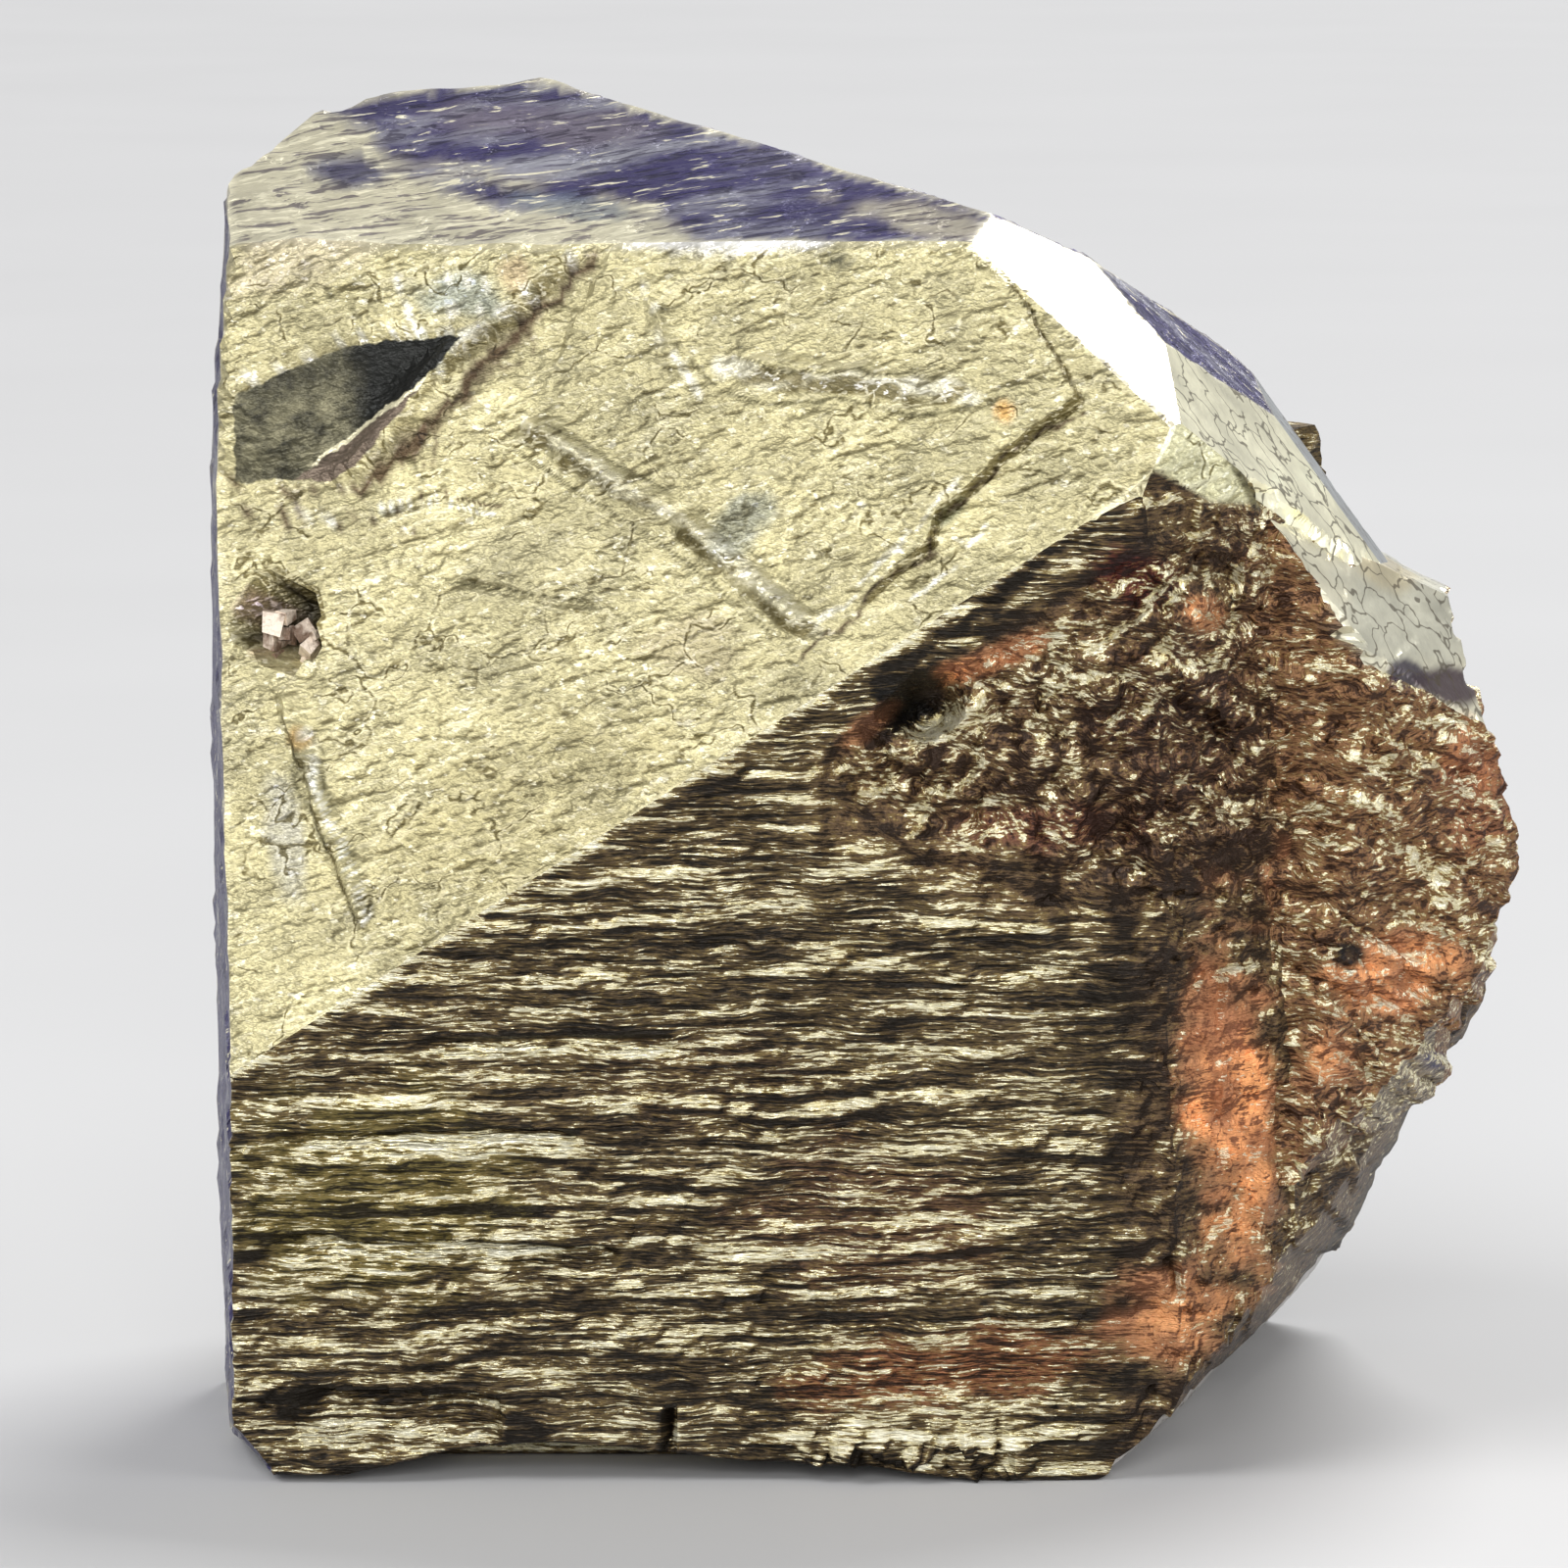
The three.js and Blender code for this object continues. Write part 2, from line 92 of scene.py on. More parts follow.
def hue(red: float, green: float, blue: float) -> Colour:
    """Turns a colour as a screen shows it, 0 to 255, into linear light.

    Args:
        red: The red value.
        green: The green value.
        blue: The blue value.

    Returns:
        The colour in linear light, 0 to 1.
    """
    shares = (red / 255, green / 255, blue / 255)
    return tuple(((c + 0.055) / 1.055) ** 2.4 if c > 0.04045 else c / 12.92 for c in shares)


def step(value: Array, low: float, high: float) -> Array:
    """Rises smoothly from 0 at low to 1 at high."""
    t = np.clip((value - low) / (high - low), 0.0, 1.0)
    return t * t * (3.0 - 2.0 * t)


def lattice(a: Array, b: Array, seed: int) -> Array:
    """Gives each whole-number cell (a, b) its own random number.

    The cell's numbers are multiplied by large odd numbers, added, and their bits are folded twice.

    Args:
        a: Whole numbers along the first direction.
        b: Whole numbers along the second direction.
        seed: Chooses another set of random numbers.

    Returns:
        Numbers from 0 to 1.
    """
    mixed = a.astype(np.int64) * 374761393 + b.astype(np.int64) * 668265263 + seed * 1274126177
    mixed = mixed & 0xFFFFFFFF
    mixed = ((mixed ^ (mixed >> 13)) * 1103515245) & 0xFFFFFFFF
    mixed = ((mixed ^ (mixed >> 16)) * 69069) & 0xFFFFFFFF
    return (mixed ^ (mixed >> 15)) / 4294967295.0


def noise(a: Array, b: Array, seed: int) -> Array:
    """Smooth noise from -1 to 1 with a grain of one unit.

    It blends the random numbers of the four corners of a cell, with smooth steps as the weights.

    Args:
        a: Position along the first direction, in grains.
        b: Position along the second direction, in grains.
        seed: Chooses another pattern.

    Returns:
        The noise at each position.
    """
    i, j = np.floor(a), np.floor(b)
    u, v = a - i, b - j
    u, v = u * u * (3.0 - 2.0 * u), v * v * (3.0 - 2.0 * v)
    near = lattice(i, j, seed) * (1.0 - u) + lattice(i + 1, j, seed) * u
    far = lattice(i, j + 1, seed) * (1.0 - u) + lattice(i + 1, j + 1, seed) * u
    return 2.0 * (near * (1.0 - v) + far * v) - 1.0


def fractal(a: Array, b: Array, seed: int, octaves: int = 3) -> Array:
    """Noise in several sizes, each half as large and half as strong as the one before."""
    total = sum(noise(a * 2**k, b * 2**k, seed + k) / 2**k for k in range(octaves))
    return total / sum(1.0 / 2**k for k in range(octaves))


def blocks(a: Array, b: Array, seed: int) -> Array:
    """A surface of small tilted blocks, as broken crystal has.

    Each cell of a grid holds one point at random. A place belongs to the nearest point, and its height
    is that block's own height plus its own tilt times the way from the point.

    Args:
        a: Position along the first direction, in blocks.
        b: Position along the second direction, in blocks.
        seed: Chooses another pattern.

    Returns:
        Heights from about -1 to 1.
    """
    i, j = np.floor(a), np.floor(b)
    nearest = np.full(a.shape, np.inf)
    height = np.zeros(a.shape)
    for di in (-1, 0, 1):
        for dj in (-1, 0, 1):
            ci, cj = i + di, j + dj
            along = a - ci - lattice(ci, cj, seed)
            up = b - cj - lattice(ci, cj, seed + 1)
            far = np.maximum(np.abs(along), np.abs(up))
            level = 1.2 * lattice(ci, cj, seed + 2) - 0.6
            tilt_a = 1.4 * lattice(ci, cj, seed + 3) - 0.7
            tilt_b = 1.4 * lattice(ci, cj, seed + 4) - 0.7
            mine = far < nearest
            height = np.where(mine, level + tilt_a * along + tilt_b * up, height)
            nearest = np.minimum(nearest, far)
    return height


def along_line(a: Array, b: Array, start: Pair, end: Pair) -> tuple[Array, Array]:
    """Finds how far places are from a straight line, and how far along it they lie.

    Args:
        a: First coordinate of the places.
        b: Second coordinate of the places.
        start: The line's first end.
        end: The line's other end.

    Returns:
        The distance from the line, and the share of its length from 0 to 1.
    """
    across, up = end[0] - start[0], end[1] - start[1]
    share = np.clip(((a - start[0]) * across + (b - start[1]) * up) / (across**2 + up**2), 0.0, 1.0)
    return np.hypot(a - start[0] - share * across, b - start[1] - share * up), share


def inside(a: Array, b: Array, outline: Sequence[Pair]) -> Array:
    """Distance into a closed outline: positive inside, negative outside.

    A place is inside where a line from it to the right crosses the outline an odd number of times.

    Args:
        a: First coordinate of the places.
        b: Second coordinate of the places.
        outline: The outline's corners in order.

    Returns:
        The signed distance to the nearest side.
    """
    odd = np.zeros(a.shape, bool)
    distance = np.full(a.shape, np.inf)
    for (x0, y0), (x1, y1) in zip(outline, [*outline[1:], outline[0]]):
        distance = np.minimum(distance, along_line(a, b, (x0, y0), (x1, y1))[0])
        if y0 != y1:
            odd ^= ((y0 > b) != (y1 > b)) & (a < x0 + (b - y0) * (x1 - x0) / (y1 - y0))
    return np.where(odd, distance, -distance)


def seen(points: Array) -> tuple[Array, Array]:
    """Where points of the crystal frame appear in the photograph's view.

    Each point is projected from the camera's place onto the plane through the view's target.

    Args:
        points: Points, one a row, in millimetres.

    Returns:
        Millimetres to the right of the middle of the view, and above it.
    """
    tilt = math.radians(VIEW_ELEVATION)
    ahead = np.array([0.0, math.cos(tilt), -math.sin(tilt)])
    above = np.array([0.0, math.sin(tilt), math.cos(tilt)])
    away = points - UNDER_MIDDLE - VIEW_TARGET
    nearer = VIEW_DISTANCE / (VIEW_DISTANCE + away @ ahead)
    return away[:, 0] * nearer, (away @ above) * nearer


@dataclass(frozen=True)
class Ridge:
    """A narrow raised line on a face, as it is seen from the front.

    Attributes:
        start: One end, in millimetres right of and above the middle of the view.
        end: The other end.
        width: Its width at the foot.
        height: Its height, or below nothing for a groove.
    """

    start: Pair
    end: Pair
    width: float
    height: float

    def rise(self, a: Array, b: Array, wander: float = 0.25) -> Array:
        """Height of the ridge: a rounded section that thins out at both ends.

        Args:
            a: Places right of the middle of the view.
            b: Places above it.
            wander: How far the line strays from straight.

        Returns:
            The height at each place.
        """
        bend = wander * fractal(a / 1.6, b / 1.6, 71, 2)
        distance, share = along_line(a + bend, b - bend, self.start, self.end)
        ends = step(share, -0.02, 0.12) * step(1.0 - share, -0.02, 0.12)
        section = 1.0 - step(distance, 0.0, self.width / 2)
        return self.height * section * ends


@dataclass(frozen=True)
class Patch:
    """A soft-edged oval patch, such as a stain, as it is seen from the front.

    Attributes:
        at: Its middle, in millimetres right of and above the middle of the view.
        across: Its half width.
        up: Its half height.
        strength: How much it covers in the middle.
        turn: How far it is turned anticlockwise, in degrees.
    """

    at: Pair
    across: float
    up: float
    strength: float = 0.8
    turn: float = 0.0

    def cover(self, a: Array, b: Array) -> Array:
        """How much of each place the patch covers: an ellipse with a frayed edge.

        Args:
            a: Places right of the middle of the view.
            b: Places above it.

        Returns:
            Cover from 0 to 1.
        """
        angle = math.radians(self.turn)
        x, y = a - self.at[0], b - self.at[1]
        along = (x * math.cos(angle) + y * math.sin(angle)) / self.across
        over = (y * math.cos(angle) - x * math.sin(angle)) / self.up
        frayed = np.hypot(along, over) + 0.45 * fractal(a / 1.1, b / 0.8, 5, 3)
        return self.strength * (1.0 - step(frayed, 0.55, 1.1))


@dataclass(frozen=True)
class Mark:
    """A narrow line, such as a painted highlight along a ledge, as it is seen from the front.

    Attributes:
        line: Its corners, in millimetres right of and above the middle of the view.
        width: Its width.
        strength: How much it covers in the middle.
        wander: How far it strays from straight.
    """

    line: tuple[Pair, ...]
    width: float
    strength: float = 0.9
    wander: float = 0.2

    def cover(self, a: Array, b: Array) -> Array:
        """How much of each place the line covers, thinner and broken in places."""
        bend = self.wander * fractal(a / 1.1, b / 1.1, 73, 2)
        distance = np.full(a.shape, np.inf)
        for start, end in zip(self.line, self.line[1:]):
            distance = np.minimum(distance, along_line(a + bend, b - bend, start, end)[0])
        width = self.width * (0.75 + 0.5 * fractal(a / 1.5, b / 1.5, 75, 2))
        return self.strength * (1.0 - step(distance, 0.3 * width, 0.65 * width))


# A colour in linear light, and where it is laid.
Layer = tuple[Colour, Patch | Mark]


@dataclass(frozen=True)
class Bowl:
    """A ragged hollow in a face, as it is seen from the front.

    Attributes:
        at: Its middle, in millimetres right of and above the middle of the view.
        across: Its half width.
        up: Its half height.
        deep: Its depth in the middle.
        stray: How far its rim strays, as a share of its size.
        grain: Size of the rim's lumps in millimetres.
        seed: Chooses the rim's pattern.
        power: 1 for slanted walls, and less for steeper ones.
    """

    at: Pair
    across: float
    up: float
    deep: float
    stray: float
    grain: float
    seed: int
    power: float = 1.0

    def depth(self, a: Array, b: Array) -> Array:
        """How deep the hollow is at each place, in millimetres."""
        far = np.hypot((a - self.at[0]) / self.across, (b - self.at[1]) / self.up)
        far += self.stray * fractal(a / self.grain, b / self.grain, self.seed, 2)
        return self.deep * np.clip(1.0 - far**2, 0.0, 1.0) ** self.power


class Finish(Enum):
    """The kinds of face that the specimen has."""

    BRIGHT = 0
    STRIATED = 1
    TARNISHED = 2
    SMOOTH = 3


@dataclass(frozen=True)
class Facet:
    """A flat face of a crystal.

    Attributes:
        azimuth: Heading of its outward normal in degrees, with 0 along +x and -90 to the front.
        elevation: Height angle of the normal in degrees.
        distance: Distance from the centre in millimetres.
        finish: What the face looks like.
    """

    azimuth: float
    elevation: float
    distance: float
    finish: Finish = Finish.STRIATED

    @property
    def normal(self) -> Array:
        """The outward normal as a unit vector."""
        a, e = math.radians(self.azimuth), math.radians(self.elevation)
        return np.array([math.cos(e) * math.cos(a), math.cos(e) * math.sin(a), math.sin(e)])

    @property
    def tangents(self) -> tuple[Array, Array]:
        """Unit vectors along the face: one level, and one up the face."""
        level = np.array([-math.sin(math.radians(self.azimuth)), math.cos(math.radians(self.azimuth)), 0.0])
        return level, np.cross(self.normal, level)


@dataclass(frozen=True)
class RayBox:
    """A box around the centre. Rays from the centre through a net on its surface carry a crystal's mesh.

    The net is fine on one side of the box, the cap. From the cap's rim it runs along the four walls with
    growing steps, is thinned to every second column on the way, and closes over the far side.

    Attributes:
        low: The lowest corner, seen from the centre.
        high: The highest corner, seen from the centre.
        axes: The axes of the cap's width and height and of the cap's own direction.
        facing: 1 if the cap faces up its axis and -1 if it faces down.
        spacing: The net's step on the cap.
        rows: How many steps the walls have.
        fine_rows: How many of them keep every column.
        start: Where the rays start, seen from the centre.
    """

    low: Triple
    high: Triple
    axes: tuple[int, int, int] = (0, 2, 1)
    facing: int = -1
    spacing: float = 0.18
    rows: int = 62
    fine_rows: int = 12
    start: Triple = (0.0, 0.0, 0.0)

    def net(self) -> tuple[Array, Array, Array]:
        """Works out the rays and how they are joined.

        Returns:
            The rays, the net's four-sided cells, and the triangles where columns merge.
        """
        a_axis, b_axis, c_axis = self.axes
        low, high = np.array(self.low) - self.start, np.array(self.high) - self.start
        ends = sorted((self.facing * low[c_axis], self.facing * high[c_axis]))
        a = np.linspace(low[a_axis], high[a_axis], 2 * round((high - low)[a_axis] / self.spacing / 2) + 1)
        b = np.linspace(low[b_axis], high[b_axis], 2 * round((high - low)[b_axis] / self.spacing / 2) + 1)
        c = ends[1] - (ends[1] - ends[0]) * (np.arange(self.rows + 1) / self.rows) ** 1.6
        fine, coarse = c[: self.fine_rows + 1], c[self.fine_rows + 1:]
        parts = []
        for k in (0, -1):
            parts += self.wall(a, b[k], fine, coarse, False)
            parts += self.wall(b, a[k], fine, coarse, True)
        parts.append(grid(*np.meshgrid(a, b, indexing="ij"), np.full((a.size, b.size), c[0])))
        a, b = a[::2], b[::2]
        parts.append(grid(*np.meshgrid(a, b, indexing="ij"), np.full((a.size, b.size), c[-1])))
        return self.joined(parts)

    @staticmethod
    def wall(line: Array, side: float, fine: Array, coarse: Array, turned: bool) -> list[tuple]:
        """One wall of the net: fine rows, a row of merging triangles and coarse rows.

        Args:
            line: Places of the columns.
            side: Where the wall stands.
            fine: Levels of the rows with every column.
            coarse: Levels of the rows with every second column.
            turned: Whether the columns stand along the second axis.

        Returns:
            Parts as (points, cells, triangles).
        """

        def sheet(columns: Array, levels: Array) -> tuple:
            s, c = np.meshgrid(columns, levels, indexing="ij")
            still = np.full(s.shape, side)
            return grid(still, s, c) if turned else grid(s, still, c)

        merging = sheet(line, np.array([fine[-1], coarse[0]]))
        first = np.arange(0, line.size - 1, 2)
        wide, narrow = 2 * first, 2 * first + 1
        after, last, beyond = 2 * first + 2, 2 * first + 4, 2 * first + 5
        triangles = np.concatenate([
            np.stack([wide, after, narrow], -1),
            np.stack([after, beyond, narrow], -1),
            np.stack([after, last, beyond], -1),
        ])
        return [sheet(line, fine), (merging[0], np.zeros((0, 4), int), triangles), sheet(line[::2], coarse)]

    def joined(self, parts: list[tuple]) -> tuple[Array, Array, Array]:
        """Joins the parts, merges the points that they share and drops those that nothing uses.

        Args:
            parts: Parts as (points, cells, triangles), in the cap's own axes.

        Returns:
            The rays, cells and triangles.
        """
        starts = np.cumsum([0] + [len(points) for points, _, _ in parts])
        points = np.concatenate([points for points, _, _ in parts])
        cells = np.concatenate([cells + start for (_, cells, _), start in zip(parts, starts)])
        triangles = np.concatenate([triangles + start for (_, _, triangles), start in zip(parts, starts)])
        _, first, same = np.unique(np.round(points, 6), axis=0, return_index=True, return_inverse=True)
        rays = np.zeros((first.size, 3))
        rays[:, self.axes[0]] = points[first, 0]
        rays[:, self.axes[1]] = points[first, 1]
        rays[:, self.axes[2]] = self.facing * points[first, 2]
        same = same.reshape(-1)
        cells, triangles = same[cells], same[triangles]
        used, index = np.unique(np.concatenate([cells.ravel(), triangles.ravel()]), return_inverse=True)
        index = index.reshape(-1)
        return rays[used], index[: cells.size].reshape(-1, 4), index[cells.size:].reshape(-1, 3)


def grid(x: Array, y: Array, z: Array) -> tuple[Array, Array, Array]:
    """A sheet of four-sided cells over a grid of points.

    Args:
        x: First coordinates, as a table.
        y: Second coordinates.
        z: Third coordinates.

    Returns:
        Points one a row, cells as four point numbers, and an empty list of triangles.
    """
    numbers = np.arange(x.size).reshape(x.shape)
    cells = np.stack([numbers[:-1, :-1], numbers[1:, :-1], numbers[1:, 1:], numbers[:-1, 1:]], -1)
    return np.stack([x, y, z], -1).reshape(-1, 3), cells.reshape(-1, 4), np.zeros((0, 3), int)


@dataclass
class Skin:
    """A crystal's finished surface, before it is a mesh.

    A point on an edge counts once for each facet that meets there, as a spot of that facet.

    Attributes:
        points: Points, one a row, in the crystal frame.
        triangles: Three point numbers a row, facing outwards.
        face: For each triangle, the number of the facet that it lies on.
        edge: Which points lie on an edge between facets.
        normals: The facets' normals, one a row.
        corner: For each corner of a triangle, in order, the number of its spot.
        spots: The spots' places, one a row.
        label: For each spot, the number of its facet.
        rim: Which spots lie on an edge.
    """

    points: Array
    triangles: Array
    face: Array
    edge: Array
    normals: Array
    corner: Array = field(init=False)
    spots: Array = field(init=False)
    label: Array = field(init=False)
    rim: Array = field(init=False)

    def __post_init__(self) -> None:
        """Lists the spots, and which spot each corner of a triangle is."""
        count = len(self.normals)
        keys, corner = np.unique(self.triangles * count + self.face[:, None], return_inverse=True)
        self.corner = corner.reshape(-1)
        self.label = keys % count
        self.spots = self.points[keys // count]
        self.rim = self.edge[keys // count]

    def crest(self) -> Array:
        """How far the relief leans to the light from above: a painted highlight and painted shade for the
        relief.

        A spot's normal is the sum of the products of the sides of its facet's triangles. The painted light is
        what that normal has more than the facet's own towards the upper left.

        Returns:
            A number from 0 to 1 at each spot, with 0.5 on flat ground.
        """
        ends = self.points[self.triangles]
        across = np.cross(ends[:, 1] - ends[:, 0], ends[:, 2] - ends[:, 0])
        weights = np.repeat(across, 3, axis=0)
        total = np.stack([np.bincount(self.corner, weights[:, k], len(self.spots)) for k in range(3)], -1)
        total /= np.maximum(np.linalg.norm(total, axis=1), 1e-12)[:, None]
        return 0.5 + 0.8 * ((total - self.normals[self.label]) @ LIGHT_FROM)


# Body colour of the crystals at the back.
TWIN_BROWN = hue(96, 80, 50)


@dataclass
class Crystal:
    """A crystal of the mass: the space behind its facets, with relief on them.

    Attributes:
        name: Name of the finished piece.
        facets: Its facets by name.
        box: The net of rays for its mesh.
        seed: Chooses its random patterns.
    """

    name: str
    facets: dict[str, Facet]
    box: RayBox
    seed: int = 1

    def relief(self, name: str, points: Array) -> Array:
        """Height of the relief over a facet, outwards.

        Args:
            name: The facet's name.
            points: Points on the flat facet, one a row.

        Returns:
            The height at each point in millimetres.
        """
        facet = self.facets[name]
        if facet.elevation < BASE_BELOW:
            return np.zeros(len(points))
        level, up = facet.tangents
        a, b = points @ level, points @ up
        rows = 0.6 + 0.9 * fractal(a / 9, b / 4, self.seed, 2)
        saw = np.mod(b / 1.5 + rows, 1.0)
        strength = step(fractal(a / 5, b / 1.6, self.seed + 9, 2), -0.4, 0.4)
        return 0.22 * strength * saw + 0.12 * fractal(a / 6, b / 6, self.seed + 5)

    def skin(self) -> Skin:
        """Works out the surface.

        Along a ray the crystal ends at its nearest facet: the facet's distance plus its relief there,
        divided by how far the ray leans to the facet's normal.

        Returns:
            The surface.
        """
        facets = list(self.facets.values())
        normals = np.array([facet.normal for facet in facets])
        distances = np.array([facet.distance for facet in facets]) - normals @ self.box.start
        origin = CENTRE + self.box.start
        rays, cells, triangles = self.box.net()
        rays, snapped = snap(rays, cells, normals / distances[:, None])
        reach = np.full((len(rays), len(facets)), np.inf)
        for k, name in enumerate(self.facets):
            lean = rays @ normals[k]
            ahead = lean > LEAST_LEAN * np.linalg.norm(rays, axis=1)
            flat = origin + rays[ahead] * (distances[k] / lean[ahead])[:, None]
            reach[ahead, k] = (distances[k] + self.relief(name, flat)) / lean[ahead]
        points = origin + rays * reach.min(axis=1)[:, None]
        on_edge = snapped[cells]
        crossed = on_edge[:, 1] & on_edge[:, 3] & ~(on_edge[:, 0] & on_edge[:, 2])
        order = np.where(crossed[:, None], cells[:, [1, 2, 3, 0]], cells)
        triangles = np.concatenate([order[:, [0, 1, 2]], order[:, [0, 2, 3]], triangles])
        corners = (points - origin)[triangles]
        inward = np.einsum("ij,ij->i", np.cross(corners[:, 0], corners[:, 1]), corners[:, 2]) < 0
        triangles[inward] = triangles[inward][:, ::-1]
        middle = rays[triangles].mean(axis=1)
        with np.errstate(divide="ignore"):
            lean = np.maximum(middle @ normals.T, 1e-9)
        face = (distances / lean).argmin(axis=1)
        return Skin(points, triangles, face, snapped, normals)

    def facet_names(self, skin: Skin) -> Array:
        """The name of the facet that each spot is on."""
        return np.array(list(self.facets))[skin.label]

    def facet_finishes(self) -> Array:
        """The number of each facet's finish."""
        return np.array([facet.finish.value for facet in self.facets.values()])

    def finishes(self, skin: Skin) -> Array:
        """The number of each triangle's finish, which is its facet's."""
        return self.facet_finishes()[skin.face]

    def tone(self, skin: Skin) -> dict[str, Array]:
        """Colour of the body, amount of bright streaks, raggedness and plainness at each spot.

        Args:
            skin: The surface.

        Returns:
            Colours one a row as "tone", and numbers from 0 to 1 as "glint", "ragged" and "plain".
        """
        a, b = seen(skin.spots)
        shade = 1.0 + 0.25 * fractal(a / 4, b / 4, self.seed + 31)
        colour = np.array(TWIN_BROWN) * shade[:, None]
        even = np.ones(len(a))
        return {"tone": colour, "glint": 0.5 * even, "ragged": 0.3 * even, "plain": 0.0 * even}

    def build(self, materials: dict[Finish, bpy.types.Material]) -> bpy.types.Object:
        """Makes the mesh and dresses it.

        Args:
            materials: The material of each finish.

        Returns:
            The finished object.
        """
        skin = self.skin()
        piece = mesh_piece(self.name, skin.points, skin.triangles)
        for finish in Finish:
            piece.data.materials.append(materials[finish])
        piece.data.polygons.foreach_set("material_index", self.finishes(skin).astype(np.int32))
        # Spots on the edges between facets, where a painted highlight goes, except on striated faces.
        rim = skin.rim * (self.facet_finishes()[skin.label] != Finish.STRIATED.value)
        looks = self.tone(skin)
        put_colour(piece, "tone", looks.pop("tone")[skin.corner])
        across, up = seen(skin.spots)
        put_colour(piece, "seen", np.stack([across, up, 0.0 * up], -1)[skin.corner] / SEEN_SCALE + 0.5)
        # Painted highlight and painted shade from the relief's tilt towards the light from the upper left.
        looks["crest"] = skin.crest()
        # Painted highlight along the edges between facets.
        looks["edge"] = rim * (0.5 + 0.9 * fractal(skin.spots[:, 0], skin.spots[:, 2], 3))
        for key, values in looks.items():
            put_number(piece, key, values[skin.corner])
        LOG.info("%s: %d triangles", self.name, len(skin.triangles))
        return piece


def snap(rays: Array, cells: Array, slopes: Array) -> tuple[Array, Array]:
    """Moves rays onto the edges between facets, so that an edge stays straight and sharp.

    A facet is passed where the ray's product with its slope is the largest. Along a side of the net
    between two facets the difference of the two products changes evenly, so it is nothing at a known
    share of the side. The nearer end of the side moves there, by its shortest such move.

    Args:
        rays: The rays, one a row.
        cells: The net's cells.
        slopes: Normal over distance of each facet.

    Returns:
        The moved rays, and which of them lie on an edge.
    """
    label = (rays @ slopes.T).argmax(axis=1)
    sides = np.concatenate([cells[:, [k, (k + 1) % 4]] for k in range(4)])
    sides = sides[label[sides[:, 0]] != label[sides[:, 1]]]
    if not len(sides):
        return rays, np.zeros(len(rays), bool)
    one, two = sides[:, 0], sides[:, 1]
    differ = slopes[label[one]] - slopes[label[two]]
    g_one = np.einsum("ij,ij->i", differ, rays[one])
    g_two = np.einsum("ij,ij->i", differ, rays[two])
    share = g_one / (g_one - g_two + 1e-12)
    near = np.where(share < 0.5, one, two)
    far = np.where(share < 0.5, two, one)
    move = np.minimum(share, 1.0 - share)
    order = np.lexsort((move, near))
    near, far, move = near[order], far[order], move[order]
    first = np.unique(near, return_index=True)[1]
    near, far, move = near[first], far[first], move[first]
    moved = rays.copy()
    moved[near] += (rays[far] - rays[near]) * np.clip(move, 0.0, FARTHEST_SNAP)[:, None]
    snapped = np.zeros(len(rays), bool)
    snapped[near] = True
    return moved, snapped


def mesh_piece(name: str, points: Array, triangles: Array, sharp: float = 24.0) -> bpy.types.Object:
    """Makes a mesh object from points of the crystal frame.

    Args:
        name: The object's name.
        points: Points in millimetres, one a row.
        triangles: Three point numbers a row, facing outwards.
        sharp: Edges that bend by more than this many degrees are sharp.

    Returns:
        The object, at the origin.
    """
    mesh = bpy.data.meshes.new(name)
    mesh.vertices.add(len(points))
    mesh.vertices.foreach_set("co", ((points - UNDER_MIDDLE) * MM).astype(np.float32).ravel())
    mesh.loops.add(3 * len(triangles))
    mesh.loops.foreach_set("vertex_index", triangles.astype(np.int32).ravel())
    mesh.polygons.add(len(triangles))
    mesh.polygons.foreach_set("loop_start", np.arange(0, 3 * len(triangles), 3, dtype=np.int32))
    mesh.polygons.foreach_set("use_smooth", np.ones(len(triangles), bool))
    mesh.update(calc_edges=True)
    mesh.set_sharp_from_angle(angle=math.radians(sharp))
    piece = bpy.data.objects.new(name, mesh)
    bpy.context.scene.collection.objects.link(piece)
    return piece


def put_colour(piece: bpy.types.Object, name: str, values: Array) -> None:
    """Stores a colour at every corner of a mesh's triangles."""
    rgba = np.column_stack([np.clip(values, 0.0, 1.0), np.ones(len(values))]).astype(np.float32)
    piece.data.attributes.new(name, "FLOAT_COLOR", "CORNER").data.foreach_set("color", rgba.ravel())


def put_number(piece: bpy.types.Object, name: str, values: Array) -> None:
    """Stores a number from 0 to 1 at every corner of a mesh's triangles."""
    numbers = np.clip(values, 0.0, 1.0).astype(np.float32)
    piece.data.attributes.new(name, "FLOAT", "CORNER").data.foreach_set("value", numbers)


# Groups of the main crystal's facets that look alike.
DARK_FACES = ("front", "copper", "right", "under_right")
BRIGHT_FACES = ("octahedral", "bevel")
TOP_FACES = ("top", "violet")

# The straight sides of the lens-shaped hollow in the view: across and up parts of the way out, and limit.
HOLLOW_SIDES = (
    (-0.391, 0.920, 19.55), (-0.081, 0.997, 16.15), (0.772, -0.635, -18.08), (0.6, -0.8, -17.42),
    (0.0, -1.0, -10.25), (-1.0, 0.0, 18.75),
)


